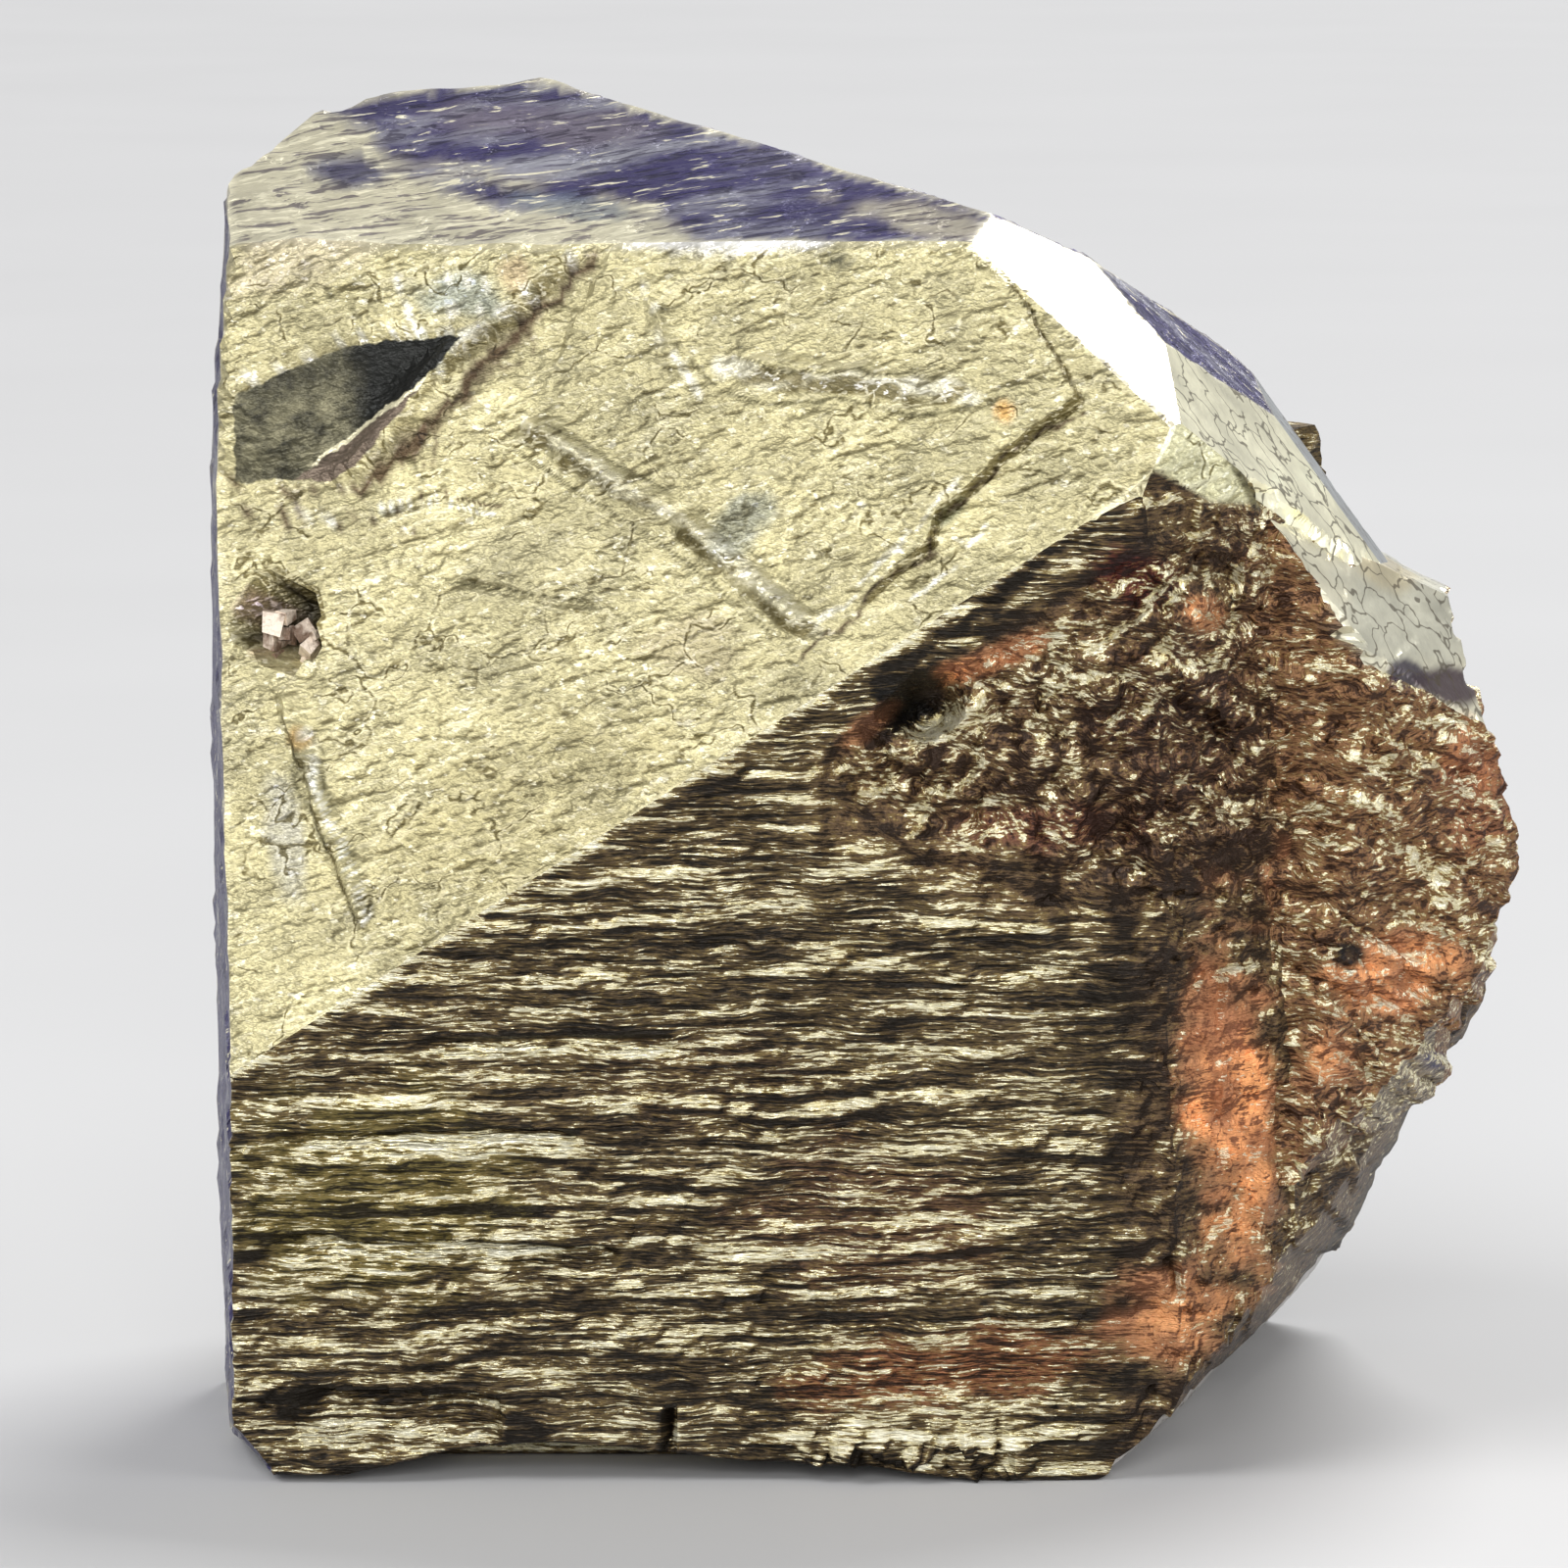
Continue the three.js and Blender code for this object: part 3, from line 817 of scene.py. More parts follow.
@dataclass
class MainCrystal(Crystal):
    """The large crystal in front, with the bright face, the striated face and the rough stepped zone.

    Outlines and lines are in millimetres right of and above the middle of the view.

    Attributes:
        corner_plate: Outline of the raised plate at the upper left of the bright face.
        corner_rise: That plate's height.
        hollow_depth: Depth of the lens-shaped hollow.
        vee: Outline of the plateau on the bright face, which ends below in a V.
        vee_rise: The plateau's height.
        ridges: Ridges of the bright face.
        ledges: Pitch, depth and seed of each set of ledges on the striated face.
        grooves: Deep grooves of the striated face.
        wedge: Outline of the pale wedge above the rough zone.
        flakes: Outline of the flaked left part of the top.
        pocket: The small pocket on the left of the bright face.
        cavity: The dark cavity in the rough zone.
        arch: Places across, and how far the base's front edge is cut in from below there.
        marked_until: How deep behind the centre, in millimetres, the front's stains and marks end.
    """

    name: str = "main_crystal"
    facets: dict[str, Facet] = field(default_factory=lambda: {
        "front": Facet(-89, -1.5, 15.1),
        "octahedral": Facet(-115.5, 33.5, 14.7, Finish.BRIGHT),
        "bevel": Facet(-98.5, 16, 16.36, Finish.BRIGHT),
        "top": Facet(-120, 71.5, 19.2, Finish.TARNISHED),
        "glint": Facet(-54.5, 60, 20.1, Finish.SMOOTH),
        "cream": Facet(-17, 36.5, 18.8, Finish.SMOOTH),
        "violet": Facet(-6.5, 48, 18.6, Finish.TARNISHED),
        "sliver": Facet(-2.5, 36, 18.4, Finish.SMOOTH),
        "copper": Facet(-43, 1, 17),
        "right": Facet(-28.5, -2, 17.3),
        "under_right": Facet(-14.5, -32, 21.2),
        "foot_right": Facet(-14, -47.5, 22.9, Finish.SMOOTH),
        "left": Facet(-175, 0, 22.1, Finish.TARNISHED),
        "left_high": Facet(-175, 4.5, 22.8, Finish.TARNISHED),
        "left_low": Facet(-176, -2.5, 22.8, Finish.TARNISHED),
        "foot_left": Facet(-165, -40, 30.9, Finish.TARNISHED),
        "back_left": Facet(151.5, -6, 22.1),
        "back_top": Facet(97, 15.5, 23.2, Finish.TARNISHED),
        "back": Facet(80, 2, 13.4),
        "back_slope": Facet(22.5, 63, 18, Finish.TARNISHED),
        "back_right": Facet(52.5, 19, 12.6),
        "base": Facet(0, -90, 21.35),
    })
    box: RayBox = RayBox((-22.9, -15.6, -21.35), (19.0, 17.0, 22.6), spacing=0.19, start=(1.0, 6.5, -1.0))
    seed: int = 11
    corner_plate: tuple[Pair, ...] = (
        (-20.5, 21.0), (-6.0, 21.0), (-6.6, 18.3), (-8.8, 15.9), (-10.3, 14.9), (-11.9, 13.6), (-12.8, 12.0),
        (-14.7, 10.5), (-20.5, 10.3),
    )
    corner_rise: float = 0.32
    hollow_depth: float = 0.6
    vee: tuple[Pair, ...] = (
        (-5.2, 19.5), (-8.7, 12.0), (-3.5, 9.1), (0.6, 4.3), (2.4, 5.8), (4.0, 7.3), (5.0, 8.0), (5.3, 9.1),
        (6.3, 9.8), (8.2, 11.7), (10.1, 13.0), (6.5, 19.0),
    )
    vee_rise: float = 0.35
    ridges: tuple[Ridge, ...] = (
        Ridge((-8.8, 12.1), (-3.6, 9.1), 1.5, 0.4),
        Ridge((-3.8, 9.2), (1.1, 5.0), 1.4, 0.4),
        Ridge((-1.8, 13.9), (6.4, 13.1), 1.5, 0.4),
        Ridge((-5.4, 18.3), (-4.5, 16.2), 0.7, 0.15),
        Ridge((-4.5, 16.3), (-3.5, 13.6), 0.7, 0.15),
        Ridge((-16.9, 3.3), (-15.9, 0.4), 1.0, 0.4),
        Ridge((-16.0, 0.6), (-14.2, -4.8), 0.9, 0.4),
        Ridge((-11.5, 6.9), (-6.0, 6.0), 0.5, -0.12),
    )
    ledges: tuple[tuple[float, float, int], ...] = ((1.55, 0.20, 61), (0.83, 0.15, 67), (0.47, 0.09, 69))
    grooves: tuple[Ridge, ...] = (
        Ridge((-17.5, -12.2), (-7.0, -12.1), 1.0, -0.6),
        Ridge((-18.2, -15.8), (-5.4, -16.0), 1.1, -0.8),
        Ridge((-12.5, -8.9), (-3.5, -8.8), 0.8, -0.4),
        Ridge((-3.9, -21.3), (-3.9, -22.9), 0.5, -0.6),
        Ridge((-17.0, -21.3), (-9.5, -21.8), 2.6, -0.9),
    )
    wedge: tuple[Pair, ...] = (
        (11.3, 9.8), (12.4, 12.3), (13.2, 12.6), (14.8, 12.2), (16.1, 9.5), (14.5, 9.6), (12.7, 10.7),
        (11.7, 10.2),
    )
    flakes: tuple[Pair, ...] = (
        (-21.0, 17.5), (-21.0, 24.0), (-15.9, 23.4), (-13.3, 21.4), (-8.0, 20.4), (-3.0, 18.9), (-3.0, 17.5),
    )
    pocket: Bowl = Bowl((-17.1, 5.4), 1.3, 1.45, deep=2.3, stray=0.18, grain=0.6, seed=41, power=0.5)
    cavity: Bowl = Bowl((4.8, 2.7), 1.45, 1.15, deep=2.4, stray=0.3, grain=0.8, seed=43)
    arch: tuple[Pair, ...] = (
        (-24, 0.3), (-17.5, 0.25), (-14.6, 1.05), (-11.8, 1.3), (-8.6, 1.15), (-4.2, 0.65), (0.2, 0.5),
        (3.4, 0),
    )
    marked_until: float = 6.0

    def relief(self, name: str, points: Array) -> Array:
        """Height of the relief over a facet of this crystal, outwards."""
        a, b = seen(points)
        if name in BRIGHT_FACES:
            return self.bright_relief(a, b)
        if name == "under_right":
            return 0.6 * self.rubble(a, b)
        if name in DARK_FACES:
            return self.dark_relief(name, a, b)
        if name in ("glint", "cream", "sliver"):
            return 0.04 * fractal(a / 2.5, b / 2.5, 17)
        if name in TOP_FACES:
            return self.top_relief(points)
        if name == "base":
            return self.foot(points)
        return 0.6 * super().relief(name, points)

    def bright_relief(self, a: Array, b: Array) -> Array:
        """The bright face: plates with sharp edges, ridges, the lens-shaped hollow and the pocket."""
        ragged = 0.18 * fractal(a / 0.9, b / 0.9, 23, 3)
        height = self.corner_rise * step(inside(a, b, self.corner_plate) + ragged, -0.1, 0.12)
        from_left_arm = 0.64 * (a + 8.7) + 0.77 * (b - 12.0)
        rise = self.vee_rise * step(from_left_arm, 0.5, 6.0)
        height += rise * step(inside(a, b, self.vee) + ragged, -0.1, 0.15)
        lumpy = 0.75 + 0.5 * fractal(a / 0.7, b / 0.7, 29, 2)
        for ridge in self.ridges:
            height += ridge.rise(a, b) * lumpy
        height += 0.10 * fractal(a / 4.5, b / 4.5, 3, 3)
        height += 0.05 * fractal((a + 0.3 * b) / 1.2, (b - 0.3 * a) / 0.6, 19, 2)
        height *= step(19.0 - b, 0.0, 1.0)
        rim = np.min([limit - x * a - y * b for x, y, limit in HOLLOW_SIDES], axis=0)
        height -= self.hollow_depth * np.sqrt(step(rim + 0.2 * ragged, 0.0, 1.6))
        return height - self.pocket.depth(a, b)

    def dark_relief(self, name: str, a: Array, b: Array) -> Array:
        """The dark faces: ledges on the front and rubble elsewhere, calm under the wedge, with the cavity."""
        rough = self.roughness(a, b)
        ground = self.striation(a, b) if name == "front" else 0.35 * self.rubble(a, b)
        calm = 1.0 - step(inside(a, b, self.wedge), -0.5, 0.1)
        return calm * ((1.0 - rough) * ground + rough * self.rubble(a, b)) - self.cavity.depth(a, b)

    def roughness(self, a: Array, b: Array) -> Array:
        """How broken the right half of the front is: nothing on the striated part, 1 in the rough zone."""
        edge = 1.2 * fractal(a / 2.0, b / 2.0, 47, 2)
        rough = step(b + 0.25 * a + edge, -3.2, 0.6) * step(a + edge, -1.0, 3.2)
        crease = step(0.633 * (a + 2.0) - b - 0.2, 0.0, 1.6)
        return np.clip(np.maximum(rough * crease, 0.55 * step(a + edge, 10.5, 13.0)), 0.0, 1.0)

    def striation(self, a: Array, b: Array) -> Array:
        """The striated face: saw-toothed ledges that wander, fade and come back, and some deep grooves."""
        drift = 0.6 * fractal(a / 8.0, b / 3.0, 53, 2) + 0.09 * fractal(a / 1.2, b / 0.9, 57, 2)
        height = np.zeros(a.shape)
        for pitch, depth, seed in self.ledges:
            fade = step(fractal(a / 4.5, b / 1.2, seed, 2), -0.35, 0.35)
            height += depth * fade * np.mod(b / pitch + drift / pitch, 1.0)
        for groove in self.grooves:
            height += groove.rise(a, b, 0.12)
        foot = step(a, 0.0, 1.6) * step(9.0 - a, 0.0, 1.6) * (1.0 - step(np.abs(b + 22.4), 0.5, 1.3))
        return height + foot * (0.35 + 0.4 * blocks(a / 0.8, b / 0.7, 77))

    def rubble(self, a: Array, b: Array) -> Array:
        """The rough zone: tilted blocks in two sizes over a lumpy ground."""
        large = blocks(a / 1.7, b / 2.2, 83)
        small = blocks((a + 0.3 * b) / 0.7, (b - 0.15 * a) / 0.8, 87)
        return 0.42 * large + 0.22 * small + 0.25 * fractal(a / 3, b / 3, 89) - 0.25

    def top_relief(self, points: Array) -> Array:
        """The top: low flakes and ribs that run from left to right, strongest on the left."""
        x, y = points[:, 0], points[:, 1]
        left = 1.0 - step(x, -14.0, -6.0)
        flakes = fractal(x / 3.2, (y + 0.2 * x) / 0.8, 91, 3)
        return (0.05 + 0.2 * left) * flakes + 0.08 * fractal(x / 5, y / 3, 93)

    def foot(self, points: Array) -> Array:
        """The base: flat, with a low arch cut in under its front edge."""
        arch = np.interp(points[:, 0], *zip(*self.arch))
        return -arch * (1.0 - step(points[:, 1], -12.5, -10.5))

    def tone(self, skin: Skin) -> dict[str, Array]:
        """Colour with its painted light, amount of bright streaks, raggedness and plainness at each spot."""
        a, b = seen(skin.spots)
        names = self.facet_names(skin)
        front = skin.spots[:, 1] < self.marked_until
        dark = np.isin(names, DARK_FACES) & front
        bright = np.isin(names, BRIGHT_FACES) & front
        top = np.isin(names, TOP_FACES)
        colour = np.tile(np.array(DARK_BROWN), (len(a), 1))
        for group, base in FACE_HUES.items():
            colour[np.isin(names, group)] = base
        bare = dark * cover_of(BARE_PATCHES, a, b)
        flaked = step(inside(a, b, self.flakes) + 0.9 * fractal(a / 2.5, b / 0.8, 105), -0.3, 0.5) * top
        self.paint_dark(colour, a, b, dark, bare)
        self.paint_bright(colour, a, b, bright)
        blend(colour, FLAKE, flaked)
        paint(colour, TOP_PATCHES, a, b, top)
        flaked *= 1.0 - cover_of(TOP_GAPS, a, b)
        glint = 0.56 + 0.18 * fractal(a / 2.5, b / 1.2, 103, 2) - 0.2 * step(a, 9.0, 12.0)
        glint += 0.16 * step(b, 2.0, 5.0) * step(a, 7.0, 10.0)
        # Painted highlights on the ledges and painted shade in the clefts.
        glint += 0.32 * cover_of(LEDGES, a, b) - 0.6 * cover_of(CLEFTS, a, b)
        shade = 1.0 + 0.2 * fractal(a / 3, b / 3, 101)
        return {
            "tone": colour * shade[:, None],
            "glint": np.where(dark, glint, np.where(top, 0.3 + 0.3 * flaked, 0.3)),
            "ragged": np.where(dark, self.roughness(a, b), 0.3),
            "plain": np.maximum(bare, flaked),
        }

    def paint_dark(self, colour: Array, a: Array, b: Array, dark: Array, bare: Array) -> None:
        """Colours the dark faces: brown where rough, then stains with the cavity's painted shade, bare copper
        and the pale wedge.

        Args:
            colour: Colours one a row, which are changed.
            a: Places right of the middle of the view.
            b: Places above it.
            dark: Which places are on a dark face.
            bare: How much of each place is bare copper.
        """
        blend(colour, BROWN, 0.7 * self.roughness(a, b) * dark)
        paint(colour, DARK_PATCHES, a, b, dark)
        blend(colour, COPPER, bare)
        blend(colour, WEDGE, step(inside(a, b, self.wedge), -0.1, 0.1) * dark)
        paint(colour, DARK_MARKS, a, b, dark)

    def paint_bright(self, colour: Array, a: Array, b: Array, bright: Array) -> None:
        """Colours the bright face: stains, drawn lines, the pocket's floor darkened as painted shade, and the
        pocket's own stains.

        Args:
            colour: Colours one a row, which are changed.
            a: Places right of the middle of the view.
            b: Places above it.
            bright: Which places are on the bright face.
        """
        paint(colour, BRIGHT_PATCHES, a, b, bright)
        paint(colour, BRIGHT_MARKS, a, b, bright)
        # Painted shade darkens the pocket's floor by its depth.
        blend(colour, POCKET_SHADE, 0.9 * (step(self.pocket.depth(a, b), 0.1, 0.8) * bright))
        paint(colour, POCKET_PATCHES, a, b, bright)

    def finishes(self, skin: Skin) -> Array:
        """The number of each triangle's finish; the pale wedge over the rough zone is bright."""
        finishes = super().finishes(skin)
        middle = skin.points[skin.triangles].mean(axis=1)
        a, b = seen(middle)
        wedge = (inside(a, b, self.wedge) > 0) & (middle[:, 1] < 0) & (finishes == Finish.STRIATED.value)
        finishes[wedge] = Finish.BRIGHT.value
        return finishes


# Colours of the main crystal: of all facets but those that have their own. The brown of the dark faces and
# the cream of the bright face are the brass's tone with painted light: dark on the faces turned from the
# light, pale on the face turned to it. The glint facet's near white is a painted highlight.
DARK_BROWN = hue(82, 67, 45)
FACE_HUES: dict[tuple[str, ...], Colour] = {
    ("octahedral",): hue(198, 189, 144),
    ("bevel",): hue(208, 200, 156),
    ("top", "violet", "back_slope", "back_top"): hue(56, 50, 96),
    ("left", "left_high", "left_low", "foot_left"): hue(66, 62, 100),
    # Painted highlight: the glint facet in near white.
    ("glint",): hue(255, 246, 215),
    ("cream",): hue(246, 242, 212),
    ("sliver",): hue(178, 182, 182),
    ("foot_right",): hue(176, 172, 168),
}

# Colours that more than one stain, mark or face has, or that have a name of their own.
BLACK = hue(20, 17, 14)
BROWN = hue(112, 84, 58)
COPPER = hue(232, 172, 124)
INDIGO = hue(46, 42, 88)
FLAKE = hue(200, 194, 168)
WEDGE = hue(222, 218, 176)
# Painted shade of the pocket's floor.
POCKET_SHADE = hue(54, 46, 34)
SHADOW = hue(84, 66, 42)
OLIVE = hue(104, 98, 64)
# Painted highlight on lit lips and ridges.
HIGHLIGHT_WHITE = hue(255, 252, 232)

# Stains of the dark faces, from the first that is laid on to the last; the black one over the cavity is
# painted shade.
DARK_PATCHES: tuple[Layer, ...] = (
    (hue(112, 66, 50), Patch((8.5, -1.5), 3.4, 1.0, 0.7)),
    (hue(142, 90, 58), Patch((6.0, -19.8), 6.5, 1.4, 0.8, 6)),
    (hue(104, 72, 52), Patch((3.0, -15.0), 5.0, 3.0, 0.6)),
    (hue(80, 24, 18), Patch((11.9, 7.0), 1.5, 1.5, 0.9)),
    (hue(96, 64, 46), Patch((13.5, 2.0), 3.5, 4.0, 0.6)),
    (hue(128, 92, 64), Patch((16.8, 5.0), 1.6, 5.0, 0.6, 8)),
    # Painted shade in the cavity.
    (BLACK, Patch((4.0, 2.4), 1.6, 1.1, 0.95)),
    (hue(70, 50, 34), Patch((-3.0, -10.0), 5.0, 2.0, 0.5, 5)),
    (hue(122, 110, 58), Patch((-14.0, -14.0), 6.0, 4.0, 0.7)),
)

# Gaps in the flaked part of the top, where the tarnish shows, and all stains of the top.
TOP_GAPS: tuple[Patch, ...] = (
    Patch((-14.9, 20.8), 1.5, 0.5, 0.95, -6),
    Patch((-10.2, 20.1), 2.0, 0.5, 0.95, -10),
)
TOP_PATCHES: tuple[Layer, ...] = (
    *((INDIGO, gap) for gap in TOP_GAPS),
    (hue(108, 118, 130), Patch((-7.0, 19.6), 2.6, 0.4, 0.7, -8)),
    (hue(196, 188, 162), Patch((4.4, 19.3), 3.0, 0.6, 0.7, -12)),
    (hue(126, 118, 128), Patch((-8.0, 22.4), 4.5, 0.8, 0.7, -4)),
    (hue(96, 92, 120), Patch((2.0, 21.0), 5.0, 0.8, 0.6, -12)),
)

# Two crystals that can be told apart on the pocket's rim.
POCKET_PATCHES: tuple[Layer, ...] = (
    (hue(214, 192, 176), Patch((-18.1, 6.1), 0.6, 0.7, 0.9)),
    (hue(150, 130, 100), Patch((-17.9, 4.6), 0.5, 0.35, 0.8)),
)

# Where the dark faces are bare copper.
BARE_PATCHES: tuple[Patch, ...] = (
    Patch((15.2, -10.5), 1.9, 6.6, 1.0, 5),
    Patch((13.2, -18.0), 2.6, 2.0, 0.7, 30),
    Patch((7.4, 4.4), 2.2, 0.6, 0.75, 22),
    Patch((5.8, 3.8), 0.7, 0.4, 1.0),
    Patch((3.0, 2.1), 1.4, 0.5, 0.5, 35),
    Patch((14.3, 5.8), 0.8, 0.7, 0.7),
    Patch((17.3, -3.2), 1.0, 1.8, 0.6),
)

# Stains of the bright face, and a painted highlight in white along its top edge.
BRIGHT_PATCHES: tuple[Layer, ...] = (
    (hue(150, 158, 148), Patch((-10.9, 16.7), 1.7, 0.9, 0.7)),
    (hue(170, 144, 112), Patch((-9.2, 17.4), 0.7, 0.9, 0.6)),
    (hue(192, 180, 152), Patch((-16.5, 18.2), 3.0, 1.3, 0.6, 15)),
    (hue(150, 152, 134), Patch((-1.6, 8.8), 1.0, 1.7, 0.75, -35)),
    (hue(214, 158, 74), Patch((7.5, 12.7), 0.5, 0.45, 0.75)),
    (hue(204, 158, 86), Patch((-16.4, 1.6), 0.6, 0.4, 0.6)),
    (hue(172, 162, 118), Patch((-9.0, -1.0), 7.0, 3.0, 0.6, 30)),
    (hue(176, 174, 160), Patch((-17.0, -1.8), 0.7, 2.4, 0.6, 8)),
    (hue(168, 156, 122), Patch((-3.2, 4.6), 2.0, 1.2, 0.55)),
    (hue(186, 178, 140), Patch((-8.5, 7.3), 3.0, 1.6, 0.5)),
    (hue(52, 52, 36), Patch((1.9, 17.8), 0.6, 0.35, 0.95)),
    # Painted highlight along the top edge.
    (hue(255, 252, 236), Patch((-1.8, 18.4), 3.6, 0.35, 0.95)),
    (hue(120, 124, 96), Patch((5.6, 9.2), 0.9, 0.4, 0.7, 45)),
)

# Painted highlights on the lit lips of edges and ridges, painted shadows along the plate's edge and below
# the ridges, and cracks of the bright face.
BRIGHT_MARKS: tuple[Layer, ...] = (
    (HIGHLIGHT_WHITE, Mark(((-6.9, 18.3), (-9.0, 16.3), (-10.5, 15.4), (-12.0, 14.2)), 0.25, 0.9)),
    (HIGHLIGHT_WHITE, Mark(((-18.7, 13.5), (-16.8, 14.0), (-14.7, 15.0), (-13.2, 15.3), (-11.2, 15.2)), 0.25, 0.85)),
    (SHADOW, Mark(
        ((-6.5, 17.9), (-8.7, 15.6), (-10.2, 14.4), (-11.6, 13.0), (-12.7, 11.6), (-14.6, 10.1)),
        0.5, 1.0, 0.35,
    )),
    (SHADOW, Mark(((-8.5, 15.3), (-10.1, 14.0), (-11.5, 12.6), (-12.5, 11.2)), 0.3, 0.7, 0.7)),
    (SHADOW, Mark(((-14.6, 10.1), (-16.5, 9.8), (-18.6, 10.1)), 0.25)),
    (HIGHLIGHT_WHITE, Mark(
        ((-8.7, 12.0), (-6.6, 10.8), (-3.6, 9.1), (-1.4, 7.3), (0.6, 5.5), (1.4, 5.0)),
        0.9, 0.25, 0.6,
    )),
    (OLIVE, Mark(((-9.0, 11.2), (-6.6, 9.7), (-4.1, 8.1), (-2.0, 6.5), (0.4, 4.5)), 0.16, 0.95, 0.35)),
    (OLIVE, Mark(((-8.1, 12.2), (-6.1, 11.1), (-3.3, 9.7), (-1.2, 8.0), (0.9, 6.2)), 0.14, 0.8, 0.4)),
    (OLIVE, Mark(((-7.6, 11.1), (-5.0, 9.6), (-2.6, 7.9)), 0.14, 0.6, 0.6)),
    (SHADOW, Mark(
        ((0.4, 4.1), (2.4, 5.6), (4.0, 7.2), (5.0, 7.9), (5.3, 9.0), (6.3, 9.7), (8.2, 11.6), (10.0, 12.8)),
        0.22, 0.95, 0.4,
    )),
    (HIGHLIGHT_WHITE, Mark(((0.8, 4.9), (2.1, 6.2), (3.7, 7.8), (5.0, 9.4), (6.0, 10.3)), 0.2, 0.6, 0.4)),
    (HIGHLIGHT_WHITE, Mark(((4.4, 6.2), (6.1, 7.6), (6.8, 8.8)), 0.14)),
    (OLIVE, Mark(((6.3, 8.0), (5.0, 8.6), (3.6, 7.2)), 0.1, 0.7)),
    (HIGHLIGHT_WHITE, Mark(((-1.9, 14.0), (0.1, 13.6), (2.9, 13.6), (6.4, 13.2)), 0.8, 0.5, 0.5)),
    (OLIVE, Mark(((-1.4, 14.3), (1.2, 14.0), (3.4, 14.1), (5.6, 13.7)), 0.1, 0.9, 0.4)),
    (OLIVE, Mark(((-2.2, 13.4), (-0.7, 12.9), (2.4, 12.9), (3.9, 12.6), (8.0, 12.9)), 0.14, 0.95, 0.4)),
    (HIGHLIGHT_WHITE, Mark(((-5.2, 18.3), (-4.5, 16.5), (-3.9, 14.6), (-3.0, 13.3)), 0.25, 0.6, 0.5)),
    (OLIVE, Mark(((-4.9, 18.3), (-4.2, 16.5), (-3.6, 14.8), (-2.4, 13.6)), 0.14, 0.8, 0.5)),
    (OLIVE, Mark(((-1.9, 17.9), (-2.6, 16.6), (-2.3, 15.4), (-1.2, 14.6)), 0.14, 0.7, 0.6)),
    (SHADOW, Mark(((-18.4, 9.3), (-14.0, 9.2), (-11.5, 9.8), (-9.6, 9.5)), 0.14, 0.95, 0.4)),
    (SHADOW, Mark(((-18.5, 8.7), (-14.5, 8.9), (-12.6, 8.6)), 0.2, 0.9, 0.4)),
    (HIGHLIGHT_WHITE, Mark(((-18.4, 9.0), (-13.5, 9.5), (-10.0, 9.3)), 0.16, 0.9, 0.4)),
    (OLIVE, Mark(((-11.6, 7.0), (-8.5, 6.5), (-6.0, 5.8)), 0.12, 0.9, 0.4)),
    (OLIVE, Mark(((-14.2, 7.2), (-11.0, 7.5), (-8.5, 6.9)), 0.1, 0.8, 0.4)),
    (OLIVE, Mark(((-13.4, 12.0), (-12.2, 10.2)), 0.12, 0.8, 0.3)),
    (HIGHLIGHT_WHITE, Mark(((-16.9, 3.3), (-16.1, 1.0), (-15.2, -2.1), (-14.3, -4.7)), 0.3, 0.9, 0.4)),
    (OLIVE, Mark(((-16.5, 3.0), (-15.7, 0.8), (-14.8, -2.1), (-14.0, -4.6)), 0.14, 0.9, 0.4)),
    (OLIVE, Mark(((-17.2, 2.4), (-16.5, 0.3), (-15.7, -2.4)), 0.12, 0.8, 0.4)),
    (OLIVE, Mark(((6.5, 17.8), (8.7, 15.8), (10.2, 14.9)), 0.1, 0.9, 0.1)),
    (HIGHLIGHT_WHITE, Mark(((-13.2, 17.4), (-12.6, 15.6)), 0.2, 0.8)),
    (HIGHLIGHT_WHITE, Mark(((-12.0, 17.3), (-10.0, 16.9)), 0.18, 0.9)),
    (HIGHLIGHT_WHITE, Mark(((-11.5, 16.0), (-9.3, 16.1)), 0.18, 0.9)),
    (OLIVE, Mark(((-16.0, 17.0), (-14.4, 16.0), (-13.6, 15.3)), 0.12, 0.8, 0.3)),
    (OLIVE, Mark(((-2.8, 9.6), (-1.5, 8.6), (-1.0, 10.6)), 0.12, 0.7, 0.4)),
    (OLIVE, Mark(((1.4, 11.2), (-0.4, 9.2)), 0.12, 0.6, 0.4)),
)

# The right edge of the pale wedge.
DARK_MARKS: tuple[Layer, ...] = (
    (OLIVE, Mark(((14.7, 12.2), (16.1, 9.5)), 0.5, 0.9, 0.05)),
)

